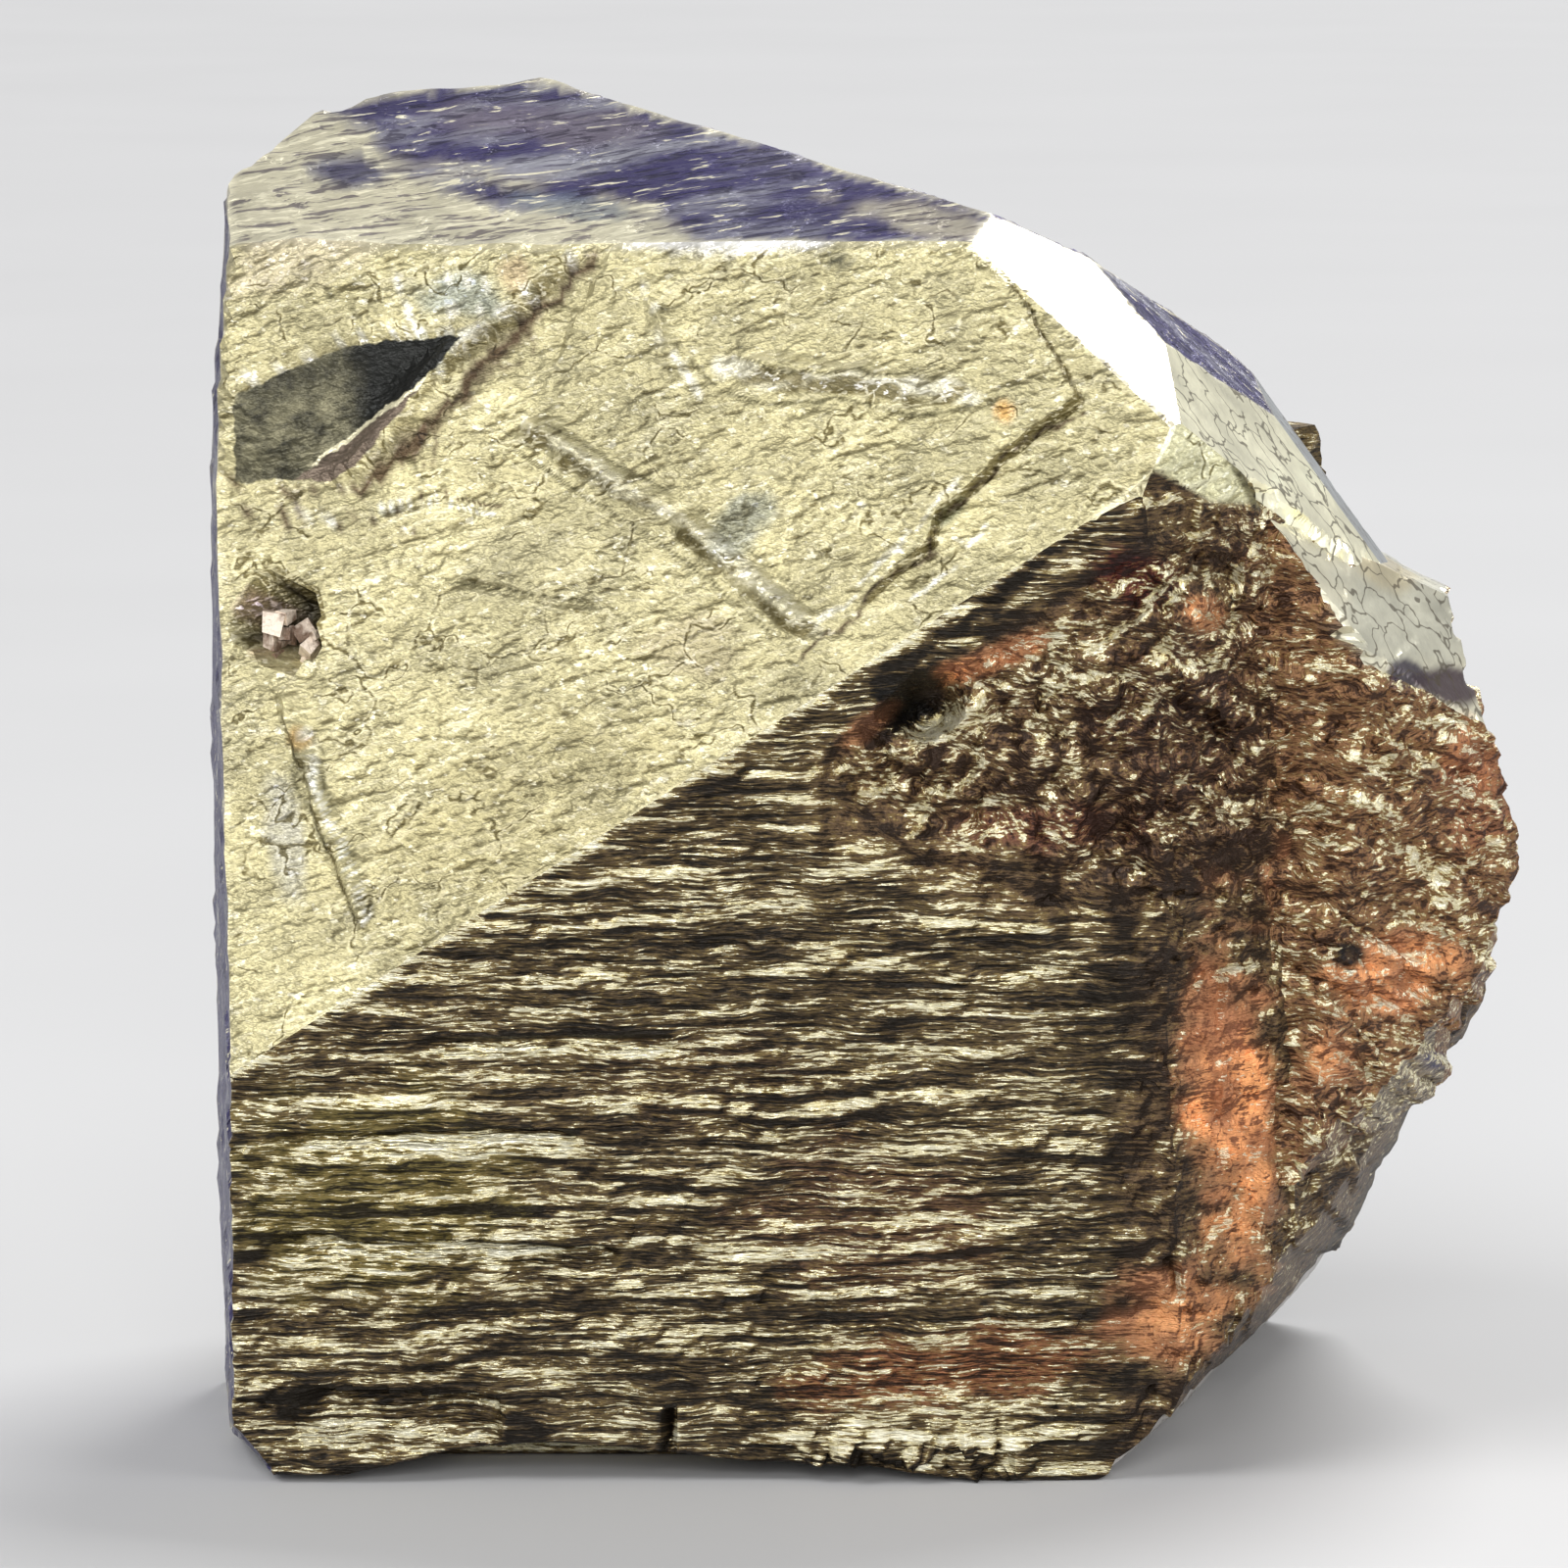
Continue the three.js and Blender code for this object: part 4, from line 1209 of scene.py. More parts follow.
# Ledges of the dark faces that catch the light, painted as highlights, and clefts painted dark as shade.
LEDGES: tuple[Mark, ...] = (
    Mark(((6.2, 1.9), (8.3, 3.1), (10.0, 3.8), (11.5, 3.7), (13.0, 3.2)), 0.8, 1.0, 0.35),
    Mark(((1.6, 0.8), (3.9, -0.4)), 0.3, 1.0, 0.1),
    Mark(((2.4, 1.1), (3.2, 0.2), (3.9, -0.4)), 0.3, 1.0, 0.1),
    Mark(((0.4, -0.6), (3.0, -0.8), (6.9, -0.7)), 0.35, 1.0, 0.15),
    Mark(((1.9, 1.2), (4.3, 1.1)), 0.3, 0.9, 0.1),
    Mark(((4.8, 3.3), (6.5, 3.4)), 0.35, 1.0, 0.05),
    Mark(((5.1, 1.6), (6.5, 1.1)), 0.35, 1.0, 0.1),
    Mark(((15.4, 9.4), (16.6, 7.5), (18.4, 5.0), (19.4, 3.2)), 0.9, 0.6, 0.5),
    Mark(((18.2, 0.0), (18.0, -4.0), (17.8, -9.0)), 0.7, 0.5, 0.6),
    Mark(((-8.0, -13.3), (-4.0, -13.2), (-1.0, -13.5)), 0.45),
    Mark(((-5.2, -15.7), (0.0, -16.1), (5.0, -16.2)), 0.4, 0.8),
    Mark(((-18.0, -17.2), (-12.0, -17.5), (-8.0, -17.4)), 0.5, 0.9),
    Mark(((-17.8, -15.0), (-13.0, -15.4)), 0.4, 0.8),
    Mark(((-15.6, -11.6), (-7.0, -12.0)), 0.4, 0.7),
    Mark(((-8.6, -19.9), (-6.6, -19.6), (-4.6, -18.1)), 0.4, 0.8),
    Mark(((-17.6, -18.7), (-9.0, -19.9)), 0.4, 0.7),
    Mark(((9.0, -13.2), (10.6, -13.1)), 0.3, 0.7),
    Mark(((1.5, -10.2), (7.5, -9.9)), 0.3, 0.6),
    Mark(((0.2, -22.2), (3.0, -22.1), (6.0, -22.6), (8.5, -23.2)), 1.1, 0.8, 0.3),
)

CLEFTS: tuple[Mark, ...] = (
    Mark(((-18.6, -16.0), (-12.0, -16.3), (-5.8, -16.3)), 0.6, 0.95),
    Mark(((-18.6, -14.2), (-8.0, -14.5)), 0.5, 0.9),
    Mark(((-17.0, -12.4), (-9.0, -12.7), (-3.0, -13.8)), 0.5, 0.8),
    Mark(((-3.9, -21.3), (-3.9, -22.9)), 0.4, 0.9, 0.05),
    Mark(((-17.5, -20.9), (-13.0, -21.1), (-8.6, -22.0)), 1.6, 0.8),
    Mark(((11.8, -2.0), (13.6, -2.9), (16.3, -1.8)), 1.5, 0.9),
    Mark(((2.0, -0.2), (4.5, -2.4), (9.0, -3.4)), 0.8, 0.6),
    Mark(((7.6, 2.6), (8.4, -1.0), (9.4, -5.0)), 0.8, 0.7),
    Mark(((10.2, 2.6), (10.8, -1.5), (11.5, -5.0)), 0.8, 0.6),
    Mark(((3.0, 1.6), (4.0, 2.5), (4.9, 2.8)), 1.3, 1.0, 0.1),
    Mark(((11.4, 9.6), (9.4, 8.2), (6.6, 5.7), (3.2, 3.4)), 0.7, 0.9, 0.3),
)


def cover_of(shapes: Sequence[Patch | Mark], a: Array, b: Array) -> Array:
    """The strongest cover of several patches or marks at each place, from 0 to 1."""
    return np.max([shape.cover(a, b) for shape in shapes], axis=0)


def blend(colour: Array, over: Colour, cover: Array) -> None:
    """Lays one colour over others, which are changed, as far as the cover says."""
    colour += (np.array(over) - colour) * cover[:, None]


def paint(colour: Array, layers: Sequence[Layer], a: Array, b: Array, where: Array) -> None:
    """Lays patches or marks over the colours of a face.

    Args:
        colour: Colours one a row, which are changed.
        layers: Colours and their patches or marks, in order.
        a: Places right of the middle of the view.
        b: Places above it.
        where: Which places may be painted.
    """
    for over, shape in layers:
        cover = shape.cover(a[where], b[where])
        colour[where] += (np.array(over) - colour[where]) * cover[:, None]


@dataclass
class KnobCrystal(Crystal):
    """The smaller crystal that stands out on the right.

    Attributes:
        marked_until: How deep behind the centre, in millimetres, the front's stains and marks end.
    """

    name: str = "knob_crystal"
    facets: dict[str, Facet] = field(default_factory=lambda: {
        "cap": Facet(5, 63.5, 14.2, Finish.SMOOTH),
        "top": Facet(-26, 33.5, 18.9, Finish.SMOOTH),
        "front": Facet(-45.5, -5.5, 18.3),
        "flat": Facet(-90, 0, 10.3),
        "right": Facet(-2, 16.5, 20.5),
        "right_low": Facet(-6.5, -15, 21.7),
        "under": Facet(-15.5, -21, 21.5),
        "under_low": Facet(-25, -34, 20.8),
        "back": Facet(70.5, 0, 12.3),
        "base": Facet(0, -73.5, 15.8),
        "inner": Facet(170, 0, 3),
        "inner_high": Facet(-115.5, 33.5, 10),
    })
    box: RayBox = RayBox(
        (-3.2, -12.5, -14.0), (21.5, 12.5, 15.0), axes=(1, 2, 0), facing=1, spacing=0.17, rows=40)
    seed: int = 111
    marked_until: float = 4.0

    def relief(self, name: str, points: Array) -> Array:
        """Height of the relief over a facet of this crystal: slanted ledges and tilted blocks."""
        a, b = seen(points)
        if name in ("cap", "top"):
            return 0.06 * fractal(a / 2, b / 2, 113) + 0.05 * blocks(a / 1.6, b / 1.2, 115)
        if name in ("back", "base", "inner", "inner_high"):
            return super().relief(name, points)
        across, up = (a - 0.5 * b) / 1.12, (b + 0.5 * a) / 1.12
        ledges = blocks(across / 2.4, up / 0.9, 117)
        small = blocks(across / 0.9, up / 0.5, 119)
        return 0.35 * ledges + 0.16 * small + 0.2 * fractal(a / 3, b / 3, 121)

    def tone(self, skin: Skin) -> dict[str, Array]:
        """Colour of the body, amount of bright streaks, raggedness and plainness at each spot."""
        a, b = seen(skin.spots)
        names = self.facet_names(skin)
        front = skin.spots[:, 1] < self.marked_until
        colour = np.tile(np.array(KNOB_BROWN), (len(a), 1))
        for name, base in KNOB_HUES.items():
            colour[names == name] = base
        bare = front * cover_of(KNOB_BARE, a, b)
        blend(colour, COPPER, bare)
        paint(colour, KNOB_PATCHES, a, b, front)
        pale = front * KNOB_PALE.cover(a, b)
        shade = 1.0 + 0.2 * fractal(a / 3, b / 3, 123)
        return {
            "tone": colour * shade[:, None],
            "glint": 0.5 + 0.35 * cover_of(KNOB_LEDGES, a, b) * front,
            "ragged": np.full(len(a), 0.85),
            "plain": np.maximum(bare, 0.8 * pale),
        }


# Body colours of the small crystal: of all facets but those that have their own.
KNOB_BROWN = hue(136, 98, 66)
KNOB_HUES: dict[str, Colour] = {
    "cap": hue(206, 205, 192), "top": hue(222, 217, 192), "under_low": hue(132, 120, 104),
}

# The pale upper end of the small crystal's front, and all its stains.
KNOB_PALE = Patch((21.2, 5.6), 2.8, 1.8, 0.9, -20)
KNOB_PATCHES: tuple[Layer, ...] = (
    (hue(206, 204, 184), KNOB_PALE),
    (hue(50, 40, 62), Patch((21.2, 3.7), 0.8, 0.6, 0.9)),
    (hue(74, 58, 64), Patch((22.7, 3.4), 1.3, 0.7, 0.95, -10)),
    (hue(206, 188, 142), Patch((20.4, 7.6), 1.2, 1.0, 0.5, -40)),
    (hue(166, 110, 78), Patch((23.6, -0.5), 1.6, 2.4, 0.7)),
    (BLACK, Patch((19.2, -5.8), 0.6, 0.5, 0.95)),
    (hue(46, 48, 100), Patch((22.2, -9.4), 0.6, 0.4, 0.9)),
    (hue(120, 84, 62), Patch((18.6, -12.0), 1.2, 2.4, 0.6, -20)),
)

# Where the small crystal is bare copper, and its ledges that catch the light.
KNOB_BARE: tuple[Patch, ...] = (
    Patch((20.8, -6.6), 2.6, 1.8, 0.9, 20),
    Patch((18.6, -9.4), 1.2, 1.2, 0.7),
    Patch((23.4, 0.6), 1.0, 1.4, 0.6),
)

KNOB_LEDGES: tuple[Mark, ...] = (
    Mark(((18.9, -0.4), (20.2, -0.8), (21.6, -2.6), (23.6, -4.9)), 1.0, 1.0, 0.3),
    Mark(((20.1, -7.3), (21.2, -7.9), (22.3, -7.8)), 0.3, 1.0, 0.1),
    Mark(((17.6, -9.2), (19.2, -10.4)), 0.8, 0.9, 0.4),
    Mark(((22.4, -0.3), (24.4, -0.7)), 0.4, 0.9),
    Mark(((19.5, 2.0), (23.5, 2.2)), 0.4, 0.6),
    Mark(((19.4, 1.0), (21.5, 0.2)), 0.4, 0.6),
    Mark(((23.4, -4.3), (24.2, -6.0)), 0.5, 0.9),
)


def twin(name: str, seed: int, low: Triple, high: Triple, faces: dict[str, Triple]) -> Crystal:
    """A crystal at the back with cube-like faces.

    Args:
        name: Name of the finished piece.
        seed: Chooses its random patterns.
        low: Lowest corner of the box around it, seen from the centre.
        high: Highest corner of that box.
        faces: Heading, height angle and distance of each face.

    Returns:
        The crystal.
    """
    facets = {key: Facet(*numbers) for key, numbers in faces.items()}
    return Crystal(name, facets, RayBox(low, high, facing=1, spacing=0.22, rows=24, fine_rows=4), seed)


TWINS: tuple[tuple[str, int, Triple, Triple, dict[str, Triple]], ...] = (
    ("high_twin", 201, (-16, -4, -9), (9, 18, 17), {
        "face": (118, 6, 17.2), "side": (28, 4, 8.5), "far_side": (-152, -4, 14.5), "roof": (-62, 84, 16.4),
        "floor": (118, -84, 9), "inner": (-62, -6, 4), "inner_high": (-115.5, 33.5, 10),
    }),
    ("low_twin", 211, (-9, -4, -21.35), (12, 17, 8), {
        "face": (78, -4, 16.2), "side": (-12, 6, 12.2), "far_side": (168, -6, 8.6), "roof": (40, 76, 6.6),
        "floor": (0, -90, 21.3), "inner": (-102, 4, 4), "inner_right": (-43, 1, 11),
        "inner_low": (-14.5, -32, 17.5),
    }),
    ("side_twin", 221, (-4, -4, -12), (16, 16, 10), {
        "face": (44, 8, 15.4), "side": (-46, 2, 8), "far_side": (134, -2, 9), "roof": (-130, 82, 9.5),
        "floor": (44, -82, 11.5), "inner": (-136, -8, 4),
    }),
)


Socket = bpy.types.NodeSocket


class Graph:
    """A node tree with short calls for the nodes that the finishes use.

    A value is a socket, a number, or a tuple for a vector or a colour.
    """

    def __init__(self, tree: bpy.types.NodeTree) -> None:
        """Keeps the tree that nodes are added to."""
        self.tree = tree

    def feed(self, target: Socket, value: object) -> None:
        """Links a socket to an input, or sets its number or colour."""
        if isinstance(value, Socket):
            self.tree.links.new(value, target)
        elif isinstance(value, tuple) and len(value) == 3 and target.type == "RGBA":
            target.default_value = (*value, 1.0)
        else:
            target.default_value = value

    def node(self, kind: str, inputs: dict | None = None, **settings: object) -> bpy.types.Node:
        """Adds a node.

        Args:
            kind: The node's type, without the word that all shader nodes start with.
            inputs: Values or sockets by the name or number of the input.
            settings: The node's own settings.

        Returns:
            The node.
        """
        made = self.tree.nodes.new(f"ShaderNode{kind}")
        for key, value in settings.items():
            setattr(made, key, value)
        for key, value in (inputs or {}).items():
            self.feed(made.inputs[key], value)
        return made

    def math(self, operation: str, one: object, two: object = 0.0) -> Socket:
        """Arithmetic on two numbers."""
        return self.node("Math", {0: one, 1: two}, operation=operation).outputs[0]

    def plus(self, one: object, two: object) -> Socket:
        """One number plus another."""
        return self.math("ADD", one, two)

    def less(self, one: object, two: object) -> Socket:
        """One number less another."""
        return self.math("SUBTRACT", one, two)

    def times(self, one: object, two: object) -> Socket:
        """One number times another."""
        return self.math("MULTIPLY", one, two)

    def most(self, one: object, two: object) -> Socket:
        """The larger of two numbers."""
        return self.math("MAXIMUM", one, two)

    def scaled(self, vector: object, factors: object) -> Socket:
        """A vector times another, part by part."""
        return self.node("VectorMath", {0: vector, 1: factors}, operation="MULTIPLY").outputs[0]

    def moved(self, vector: object, way: object) -> Socket:
        """A vector plus another."""
        return self.node("VectorMath", {0: vector, 1: way}, operation="ADD").outputs[0]

    def dot(self, vector: object, way: object) -> Socket:
        """How far a vector reaches along another."""
        return self.node("VectorMath", {0: vector, 1: way}, operation="DOT_PRODUCT").outputs[1]

    def turned(self, vector: object, degrees: float) -> Socket:
        """A vector turned in the upright plane that faces the front."""
        inputs = {"Vector": vector, "Axis": (0.0, 1.0, 0.0), "Angle": math.radians(degrees)}
        return self.node("VectorRotate", inputs).outputs[0]

    def noise(self, vector: object, scale: float = 1.0, detail: float = 3.0,
              roughness: float = 0.55) -> Socket:
        """Fractal noise from 0 to 1."""
        inputs = {"Vector": vector, "Scale": scale, "Detail": detail, "Roughness": roughness}
        return self.node("TexNoise", inputs).outputs[0]

    def vector_noise(self, vector: object, scale: float, detail: float) -> Socket:
        """Three fractal noises from 0 to 1, as a vector."""
        return self.node("TexNoise", {"Vector": vector, "Scale": scale, "Detail": detail}).outputs[1]

    def ramp(self, value: object, low: object, high: object) -> Socket:
        """Rises smoothly from 0 at low to 1 at high."""
        inputs = {"Value": value, "From Min": low, "From Max": high}
        return self.node("MapRange", inputs, interpolation_type="SMOOTHSTEP").outputs[0]

    def spread(self, value: object, low: float, high: float, start: float = 0.0, end: float = 1.0) -> Socket:
        """Goes evenly from low, where the value is at the start, to high, where it is at the end."""
        inputs = {"Value": value, "From Min": start, "From Max": end, "To Min": low, "To Max": high}
        return self.node("MapRange", inputs).outputs[0]

    def mix(self, factor: object, one: object, two: object, kind: str = "MIX") -> Socket:
        """Blends two colours."""
        return self.node("Mix", {0: factor, 6: one, 7: two}, data_type="RGBA", blend_type=kind).outputs[2]

    def tinted(self, one: object, two: object) -> Socket:
        """A colour times another."""
        return self.mix(1.0, one, two, "MULTIPLY")

    def blend(self, factor: object, one: object, two: object) -> Socket:
        """Blends two numbers."""
        return self.node("Mix", {0: factor, 2: one, 3: two}).outputs[0]

    def attribute(self, name: str, output: str = "Fac") -> Socket:
        """A value that the mesh carries."""
        return self.node("Attribute", attribute_name=name).outputs[output]

    def group(self, tree: bpy.types.NodeTree, **inputs: object) -> bpy.types.Node:
        """Places a node group with its own values."""
        made = self.node("Group", node_tree=tree)
        for key, value in inputs.items():
            self.feed(made.inputs[key.capitalize()], value)
        return made


def new_group(name: str, inputs: dict[str, str],
              *outputs: str) -> tuple[Graph, dict[str, Socket], bpy.types.Node]:
    """Starts a node group.

    Args:
        name: The group's name.
        inputs: Kind of socket for each input.
        outputs: Names of the outputs, which are numbers.

    Returns:
        The group's graph, its input sockets by name and its output node.
    """
    tree = bpy.data.node_groups.new(name, "ShaderNodeTree")
    for key, kind in inputs.items():
        tree.interface.new_socket(key, in_out="INPUT", socket_type=f"NodeSocket{kind}")
    for key in outputs:
        tree.interface.new_socket(key, in_out="OUTPUT", socket_type="NodeSocketFloat")
    source = tree.nodes.new("NodeGroupInput")
    sink = tree.nodes.new("NodeGroupOutput")
    return Graph(tree), {key: source.outputs[key] for key in inputs}, sink


def streak_group() -> bpy.types.NodeTree:
    """Broken level streaks: noise stretched sideways and bent up and down by a slower noise."""
    graph, given, sink = new_group(
        "broken_streaks", {"Vector": "Vector", "Stretch": "Vector", "Bend": "Float"}, "Height")
    slow = graph.noise(graph.scaled(given["Vector"], (0.45, 0.45, 0.9)), 1.0, 1.0)
    lift = graph.times(graph.less(slow, 0.5), given["Bend"])
    bent = graph.moved(given["Vector"], graph.node("CombineXYZ", {2: lift}).outputs[0])
    graph.feed(sink.inputs["Height"], graph.noise(graph.scaled(bent, given["Stretch"]), 1.0, 3.0, 0.65))
    return graph.tree


def crinkle_group() -> bpy.types.NodeTree:
    """Fine wrinkles as on beaten foil, with painted light and shade.

    The wrinkles are a noise. Where it falls towards the shift it is painted as highlight, where it rises as
    shade.

    Returns:
        The group, with Dark, Light and Height.
    """
    kinds = {"Vector": "Vector", "Stretch": "Vector", "Shift": "Vector", "Gain": "Float"}
    graph, given, sink = new_group("crinkles_painted_light", kinds, "Dark", "Light", "Height")
    height = graph.noise(graph.scaled(given["Vector"], given["Stretch"]), 1.0, 3.0, 0.6)
    beside = graph.scaled(graph.moved(given["Vector"], given["Shift"]), given["Stretch"])
    fall = graph.times(graph.less(height, graph.noise(beside, 1.0, 3.0, 0.6)), given["Gain"])
    graph.feed(sink.inputs["Light"], graph.ramp(fall, 0.25, 1.0))
    graph.feed(sink.inputs["Dark"], graph.ramp(fall, -0.25, -1.0))
    graph.feed(sink.inputs["Height"], height)
    return graph.tree


def crack_group() -> bpy.types.NodeTree:
    """Thin cracks: the sides of irregular cells, with a painted highlight as a bright lip beside each crack.

    A slow noise, which the amount shifts, says where the cracks are held back.

    Returns:
        The group, with Dark and Light.
    """
    kinds = {"Vector": "Vector", "Stretch": "Vector", "Width": "Float", "Amount": "Float"}
    graph, given, sink = new_group("thin_cracks", kinds, "Dark", "Light")
    bend = graph.moved(graph.vector_noise(given["Vector"], 0.8, 2.0), (-0.5, -0.5, -0.5))
    bent = graph.moved(given["Vector"], graph.scaled(bend, (2.2, 2.2, 2.2)))
    cells = graph.node("TexVoronoi", {"Vector": graph.scaled(bent, given["Stretch"]), "Scale": 1.0},
                       feature="DISTANCE_TO_EDGE")
    share = graph.math("DIVIDE", cells.outputs[0], given["Width"])
    held = graph.ramp(graph.noise(given["Vector"], 0.5, 2.0),
                      graph.less(0.62, given["Amount"]), graph.less(0.72, given["Amount"]))
    # Painted highlight: a bright lip beside each crack.
    lip = graph.times(graph.ramp(share, 1.0, 1.5), graph.ramp(share, 3.2, 2.0))
    graph.feed(sink.inputs["Dark"], graph.times(graph.ramp(share, 1.0, 0.4), held))
    graph.feed(sink.inputs["Light"], graph.times(lip, held))
    return graph.tree


@dataclass(frozen=True)
class Groups:
    """The node groups that the finishes share.

    Attributes:
        streaks: Broken level streaks.
        crinkles: Fine wrinkles.
        cracks: Thin cracks.
    """

    streaks: bpy.types.NodeTree
    crinkles: bpy.types.NodeTree
    cracks: bpy.types.NodeTree


def new_material(name: str) -> tuple[bpy.types.Material, Graph, Socket]:
    """Starts a material.

    Args:
        name: The material's name.

    Returns:
        The material, its graph and the position on the object in millimetres.
    """
    material = bpy.data.materials.new(name)
    material.use_nodes = True
    graph = Graph(material.node_tree)
    material.node_tree.nodes.clear()
    place = graph.node("TexCoord").outputs["Object"]
    return material, graph, graph.scaled(place, (1.0 / MM, 1.0 / MM, 1.0 / MM))


def close_material(graph: Graph, colour: object, roughness: object, height: Socket, metallic: float,
                   relief: float) -> None:
    """Adds the surface shader and the fine relief.

    Args:
        graph: The material's graph.
        colour: The colour.
        roughness: The roughness.
        height: The height of the fine relief, 0 to 1.
        metallic: How metallic the surface is.
        relief: The fine relief's depth in millimetres.
    """
    bump = graph.node("Bump", {"Height": height, "Distance": relief * MM, "Strength": 1.0})
    shader = graph.node("BsdfPrincipled", {
        "Base Color": colour, "Roughness": roughness, "Metallic": metallic, "Normal": bump.outputs[0],
    })
    graph.tree.links.new(shader.outputs[0], graph.node("OutputMaterial").inputs[0])


@dataclass(frozen=True)
class StriatedFinish:
    """Dark brown growth face with bright, broken, level streaks, and copper where the mesh is plain.

    All of it comes from one level, about 0 to 1: noise, shifted by the relief's painted light and by the
    mesh's glint. The lowest places are clefts, painted dark as shade; the highest are painted highlights of
    lit metal. A pair gives the two levels between which the look changes.

    Attributes:
        gold: Colour that the ground takes on between the streaks.
        streak: Colour of the streaks.
        glare: Colour of their lit lips.
        ground_from: Where the clefts turn into the ground.
        gold_from: Where the ground turns golden.
        lip_from: Where the lit lip in front of a streak starts.
        lip_to: Where that lip ends, from the end to the last full place.
        streak_from: Where a streak starts.
        glare_from: Where a streak starts to glare.
        filled_from: Where the inside of a streak is weaker again.
        peak_from: Where the highest places glare again.
        metallic: How metallic the surface is.
    """

    gold: Colour = hue(150, 128, 76)
    streak: Colour = hue(240, 226, 164)
    glare: Colour = hue(255, 250, 222)
    ground_from: Pair = (0.38, 0.49)
    gold_from: Pair = (0.50, 0.60)
    lip_from: Pair = (0.61, 0.63)
    lip_to: Pair = (0.66, 0.64)
    streak_from: Pair = (0.625, 0.65)
    glare_from: Pair = (0.655, 0.68)
    filled_from: Pair = (0.66, 0.69)
    peak_from: Pair = (0.74, 0.78)
    metallic: float = 0.55

    @staticmethod
    def levels(graph: Graph, groups: Groups, place: Socket, ragged: Socket) -> tuple[Socket, Socket, Socket]:
        """The level of each place.

        Args:
            graph: The material's graph.
            groups: The shared node groups.
            place: The position on the object in millimetres.
            ragged: 0 for long level streaks and 1 for short bent ones.

        Returns:
            The level, the coarse noise in it, and the fine noise about 0.
        """
        long = graph.group(groups.streaks, vector=place, stretch=(0.45, 0.45, 7.0), bend=0.4)
        fine = graph.group(groups.streaks, vector=place, stretch=(2.0, 2.0, 15.0), bend=0.5)
        leaning = graph.turned(place, -10.0)
        net = graph.group(groups.streaks, vector=leaning, stretch=(1.6, 1.6, 6.5), bend=2.2)
        spots = graph.group(groups.streaks, vector=place, stretch=(2.6, 2.6, 9.0), bend=1.2)
        coarse = graph.blend(ragged, long.outputs[0], net.outputs[0])
        narrow = graph.less(graph.blend(ragged, fine.outputs[0], spots.outputs[0]), 0.5)
        # Painted light of the relief's tilt: a higher level where it leans to the light, lower elsewhere.
        crest = graph.less(graph.attribute("crest"), 0.5)
        glint = graph.less(graph.attribute("glint"), 0.5)
        level = graph.plus(coarse, graph.times(narrow, 0.75))
        level = graph.plus(level, graph.times(crest, graph.blend(ragged, 0.5, 0.36)))
        return graph.plus(level, graph.times(glint, 0.34)), coarse, narrow

    def ground(self, graph: Graph, place: Socket, level: Socket, ragged: Socket, plain: Socket) -> Socket:
        """The colour below the streaks.

        Args:
            graph: The material's graph.
            place: The position on the object in millimetres.
            level: The level of each place.
            ragged: 0 for long level streaks and 1 for short bent ones.
            plain: How far each place is bare copper.

        Returns:
            The colour.
        """
        tone = graph.attribute("tone", "Color")
        # Painted shade in the clefts.
        cleft = graph.tinted(tone, graph.mix(ragged, (0.12, 0.11, 0.09), (0.2, 0.16, 0.14)))
        colour = graph.mix(graph.ramp(level, *self.ground_from), cleft, tone)
        colour = graph.mix(graph.ramp(level, *self.gold_from), colour, graph.mix(0.55, tone, self.gold))
        cloud = graph.ramp(graph.noise(place, 0.5, 3.0, 0.65), 0.42, 0.62)
        copper = graph.mix(cloud, graph.tinted(tone, (0.6, 0.5, 0.46)), graph.tinted(tone, (1.3, 1.12, 0.9)))
        cracked = graph.mix(graph.ramp(level, 0.44, 0.36), copper, graph.tinted(tone, (0.3, 0.22, 0.2)))
        return graph.mix(plain, colour, cracked)

    def build(self, groups: Groups) -> bpy.types.Material:
        """Makes the material."""
        material, graph, place = new_material("striated_face")
        ragged = graph.attribute("ragged")
        plain = graph.attribute("plain")
        level, coarse, narrow = self.levels(graph, groups, place, ragged)
        colour = self.ground(graph, place, level, ragged, plain)
        thinned = graph.less(1.0, graph.times(graph.ramp(level, *self.filled_from), 0.5))
        shown = graph.times(graph.ramp(level, *self.streak_from), thinned)
        held = graph.times(shown, graph.less(1.0, graph.times(plain, 0.75)))
        # The streaks are painted highlights.
        colour = graph.mix(held, colour, self.streak)
        lip = graph.times(graph.ramp(level, *self.lip_from), graph.ramp(level, *self.lip_to))
        lip = graph.times(lip, graph.ramp(narrow, -0.04, 0.06))
        glare = graph.times(graph.ramp(level, *self.glare_from), thinned)
        glare = graph.most(glare, graph.most(lip, graph.ramp(level, *self.peak_from)))
        colour = graph.mix(glare, colour, self.glare)
        close_material(graph, colour, graph.spread(shown, 0.48, 0.26), coarse, self.metallic, 0.4)
        return material


